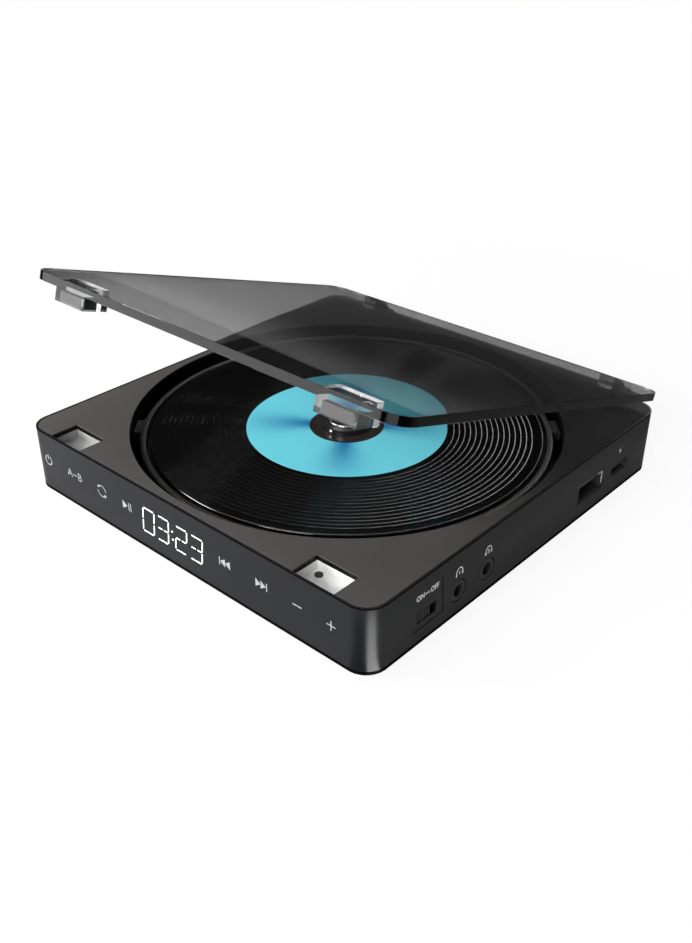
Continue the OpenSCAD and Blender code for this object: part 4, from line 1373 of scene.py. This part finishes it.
class PlainParts:
    """All the CAD nodes whose shape is already right, dressed by their slot."""

    def build(self) -> None:
        """Gives every CAD node the finish of its material slot."""
        made: dict[str, bpy.types.Material] = {}
        for part in frame["record"]["subparts"]:
            slot = part["material_slot"]
            if slot in SLOT_FINISHES:
                if slot not in made:
                    made[slot] = SLOT_FINISHES[slot].build(f"{slot}_finish")
                dress_node(part["node"], made[slot])


# ---------------------------------------------------------------- studio


@dataclass
class Studio:
    """A pale floor, soft lamps and a plain surround with soft bright areas.

    Attributes:
        floor_radius: The floor's radius.
        key_power: The main lamp's power in watts.
        fill_power: The second lamp's power in watts.
        ring_way: The middle of the curved strip light behind the player.
        ring_level: That strip's brightness.
        over_level: The brightness of the soft light overhead.
        card_way: The direction of the low card at the front left.
        card_level: The card's brightness.
        near_way: The direction of the dimmer card at the front right.
        near_level: That card's brightness.
        ring_band: Where that strip starts, is full, falls and ends, as cosines.
        corner: The middle of the case's near corner rounding on the floor.
        sector: The angles about the corner, in radians, that its mirror strip fills.
        shade: The angles of the dark beside that strip.
        mirror_greys: Places from the far to the near side, and the floor's greys there
            in mirror rays.
        strip_level: How bright that corner's mirror strip on the floor is.
        ground_share: How white the floor is to the camera under the player.
        through_level: The floor's grey in see-through rays.
    """

    floor_radius: float = 1.6
    key_power: float = 0.9
    fill_power: float = 10.0
    ring_way: tuple[float, float, float] = (-0.579, 0.473, 0.664)
    ring_level: float = 4.5
    over_level: float = 0.25
    card_way: tuple[float, float, float] = (-0.72, -0.69, 0.08)
    card_level: float = 2.2
    near_way: tuple[float, float, float] = (0.5, -0.85, 0.0)
    near_level: float = 1.2
    ring_band: tuple[float, ...] = (0.735, 0.765, 0.83, 0.86)
    corner: tuple[float, float, float] = (0.062, -0.0665, 0.0)
    sector: tuple[float, ...] = (-0.85, -0.74, -0.34, -0.14)
    shade: tuple[float, ...] = (-1.8, -1.5, -0.95, -0.85)
    mirror_greys: tuple[tuple[float, float], ...] = (
        (0.0, 0.18), (0.1, 0.24), (0.48, 0.32), (0.95, 0.3))
    strip_level: float = 4.0
    ground_share: float = 0.86
    through_level: float = 0.54

    def build(self) -> None:
        """Makes the floor, the surround and the lamps."""
        self.floor()
        self.surround()
        self.lamp("key_lamp", (-0.22, -0.24, 0.16), 0.12, self.key_power)
        self.lamp("fill_lamp", (0.15, -1.0, 0.45), 0.5, self.fill_power)
        bpy.context.scene.view_settings.view_transform = "Standard"

    def floor(self) -> None:
        """A disc-shaped floor that keeps the shadow and is white to the camera."""
        edge = arc((0, 0), self.floor_radius, 0, 360, 97)[:-1]
        mesh = bpy.data.meshes.new("studio_floor")
        mesh.from_pydata(np.c_[edge, np.zeros(len(edge))].tolist(), [],
                         [list(range(len(edge)))])
        floor = bpy.data.objects.new("studio_floor", mesh)
        bpy.context.scene.collection.objects.link(floor)
        material = bpy.data.materials.new("floor_white")
        material.use_nodes = True
        self.floor_light(NodeGraph(material.node_tree))
        mesh.materials.append(material)

    def floor_light(self, graph: NodeGraph) -> None:
        """Gives each kind of ray its own tone of the floor.

        Args:
            graph: The floor's nodes.
        """
        path = graph.add("ShaderNodeLightPath").outputs
        reach, around = graph.length(graph.place()), graph.place(self.corner)
        angle = graph.angle(around)
        close = graph.rest(graph.rise(graph.length(around), 30 * MM, 60 * MM))
        shade = graph.product(graph.window(angle, *self.shade), close)
        glossy = graph.mix(path["Is Glossy Ray"], (0.95,) * 3,
                           self.mirrored(graph, reach, shade))
        tone = graph.mix(path["Is Transmission Ray"], glossy,
                         self.seen_through(graph, reach))
        matte = graph.add("ShaderNodeBsdfDiffuse", {"Color": tone})
        white = graph.add("ShaderNodeEmission", {"Color": (1, 1, 1, 1)})
        share = graph.product(path["Is Camera Ray"], graph.math(
            "ADD", graph.rise(reach, 0.09, 0.3, 1 - self.ground_share - 0.01),
            self.ground_share))
        strip = graph.add("ShaderNodeEmission", {"Strength": graph.product(
            graph.window(angle, *self.sector), close, path["Is Glossy Ray"],
            self.strip_level)})
        both = graph.add("ShaderNodeAddShader", {
            0: graph.blend(share, matte, white), 1: strip.outputs[0]})
        graph.add("ShaderNodeOutputMaterial", {"Surface": both.outputs[0]})

    def mirrored(self, graph: NodeGraph, reach: bpy.types.NodeSocket,
                 shade: bpy.types.NodeSocket) -> bpy.types.NodeSocket:
        """The floor's grey in mirror rays: dimmer far away and beside the near corner.

        Args:
            graph: The floor's nodes.
            reach: The distance from the floor's middle.
            shade: The share of the dark beside the near corner.

        Returns:
            The grey's socket.
        """
        across = graph.math("MULTIPLY_ADD", graph.along(-0.6, -0.8, 0), 4.0, 0.5)
        grey = graph.ramp(across, [(at, (tone,) * 3) for at, tone in self.mirror_greys])
        far = graph.rest(graph.rise(reach, 0.13, 0.3, 0.8))
        return graph.scaled(grey, graph.product(far, graph.rest(shade)))

    def seen_through(self, graph: NodeGraph, reach: bpy.types.NodeSocket
                     ) -> bpy.types.NodeSocket:
        """The floor's grey in see-through rays: bright close behind, then dark.

        Args:
            graph: The floor's nodes.
            reach: The distance from the floor's middle.

        Returns:
            The grey's socket.
        """
        behind = graph.product(graph.rise(graph.along(1, 0, 0), -95 * MM, -75 * MM),
                               graph.rise(graph.along(0, 1, 0), 66 * MM, 75 * MM, 0.43))
        away = graph.math("ADD", graph.rise(reach, 0.62, 1.4, 1.3), 1.0)
        away = graph.math("SUBTRACT", away, graph.rise(reach, 0.17, 0.26, 0.95))
        return graph.product(graph.math("ADD", behind, self.through_level), away)

    def surround(self) -> None:
        """A sky white to the camera, elsewhere dim with four soft bright areas."""
        world = bpy.data.worlds.new("surround")
        bpy.context.scene.world = world
        world.use_nodes = True
        graph = NodeGraph(world.node_tree)
        way = graph.add("ShaderNodeTexCoord").outputs["Generated"]
        up, ring = graph.dot(way, (0, 0, 1)), graph.dot(way, self.ring_way)
        right = graph.dot(way, (1, 0, 0))
        strip = graph.product(graph.window(ring, *self.ring_band),
                              graph.rise(right, -0.72, -0.25, self.ring_level),
                              graph.math("ADD", graph.rise(up, 0.6, 0.95, 0.9), 0.8),
                              graph.rise(up, 0.08, 0.28))
        card = graph.rise(graph.dot(way, self.card_way), 0.88, 0.96, self.card_level)
        near = graph.rise(graph.dot(way, self.near_way), 0.8, 0.97, self.near_level)
        level = graph.math("ADD", graph.rise(up, 0.5, 1.0, self.over_level), 0.02)
        for part in (card, strip, near):
            level = graph.math("ADD", level, part)
        white = {"Color": (1, 1, 1, 1)}
        around = graph.add("ShaderNodeBackground", {**white, "Strength": level})
        plain = graph.add("ShaderNodeBackground", white)
        camera = graph.add("ShaderNodeLightPath").outputs["Is Camera Ray"]
        graph.add("ShaderNodeOutputWorld", {"Surface": graph.blend(
            camera, around, plain)})

    def lamp(self, name: str, place: Sequence[float], size: float, power: float) -> None:
        """Adds a square soft lamp that faces the player.

        Args:
            name: Its name.
            place: Where it stands, in metres.
            size: Its side in metres.
            power: Its power in watts.
        """
        light = bpy.data.lights.new(name, "AREA")
        light.size, light.energy = size, power
        made = bpy.data.objects.new(name, light)
        made.location = place
        made.rotation_euler = (Vector((0, 0, 0.02)) - Vector(place)
                               ).to_track_quat("-Z", "Y").to_euler()
        made.visible_camera = False
        made.visible_transmission = False
        bpy.context.scene.collection.objects.link(made)


@dataclass
class ViewCamera:
    """The camera, in front of the player's near right corner and above it.

    Attributes:
        place: Where it stands, in metres.
        azimuth: How far round it stands, in degrees.
        elevation: How steeply it looks down, in degrees.
        roll: Its turn about its own line of sight, in degrees.
        lens: Its focal length in millimetres, on a 36 mm wide sensor.
    """

    place: tuple[float, float, float] = (0.18729, -0.21329, 0.16968)
    azimuth: float = 41.94
    elevation: float = 31.13
    roll: float = 0.09
    lens: float = 53.776

    def build(self) -> None:
        """Makes the camera and sets it as the scene's own."""
        data = bpy.data.cameras.new("view_camera")
        data.sensor_fit, data.sensor_width, data.lens = "HORIZONTAL", 36.0, self.lens
        data.clip_start, data.clip_end = 0.01, 20.0
        made = bpy.data.objects.new("view_camera", data)
        a, e = math.radians(self.azimuth), math.radians(self.elevation)
        ahead = Vector((-math.sin(a) * math.cos(e), math.cos(a) * math.cos(e),
                        -math.sin(e)))
        turn = ahead.to_track_quat("-Z", "Y").to_matrix().to_4x4()
        made.matrix_world = (Matrix.Translation(self.place) @ turn
                             @ Matrix.Rotation(math.radians(self.roll), 4, "Z"))
        bpy.context.scene.collection.objects.link(made)
        bpy.context.scene.camera = made


def main() -> None:
    """Builds the camera, reads the shared sizes, and builds the player's pieces and the
    studio.
    """
    logging.basicConfig(level=logging.INFO, format="%(name)s: %(message)s")
    ViewCamera().build()
    sizes = Measures.read()
    PlainParts().build()
    Casing(sizes).build()
    Lid().build()
    Disc(sizes).build()
    TrayRim(sizes).build()
    Hub(sizes).build()
    FrontSigns(sizes).build()
    SideSigns(sizes).build()
    Studio().build()


if __name__ == "__main__":
    main()
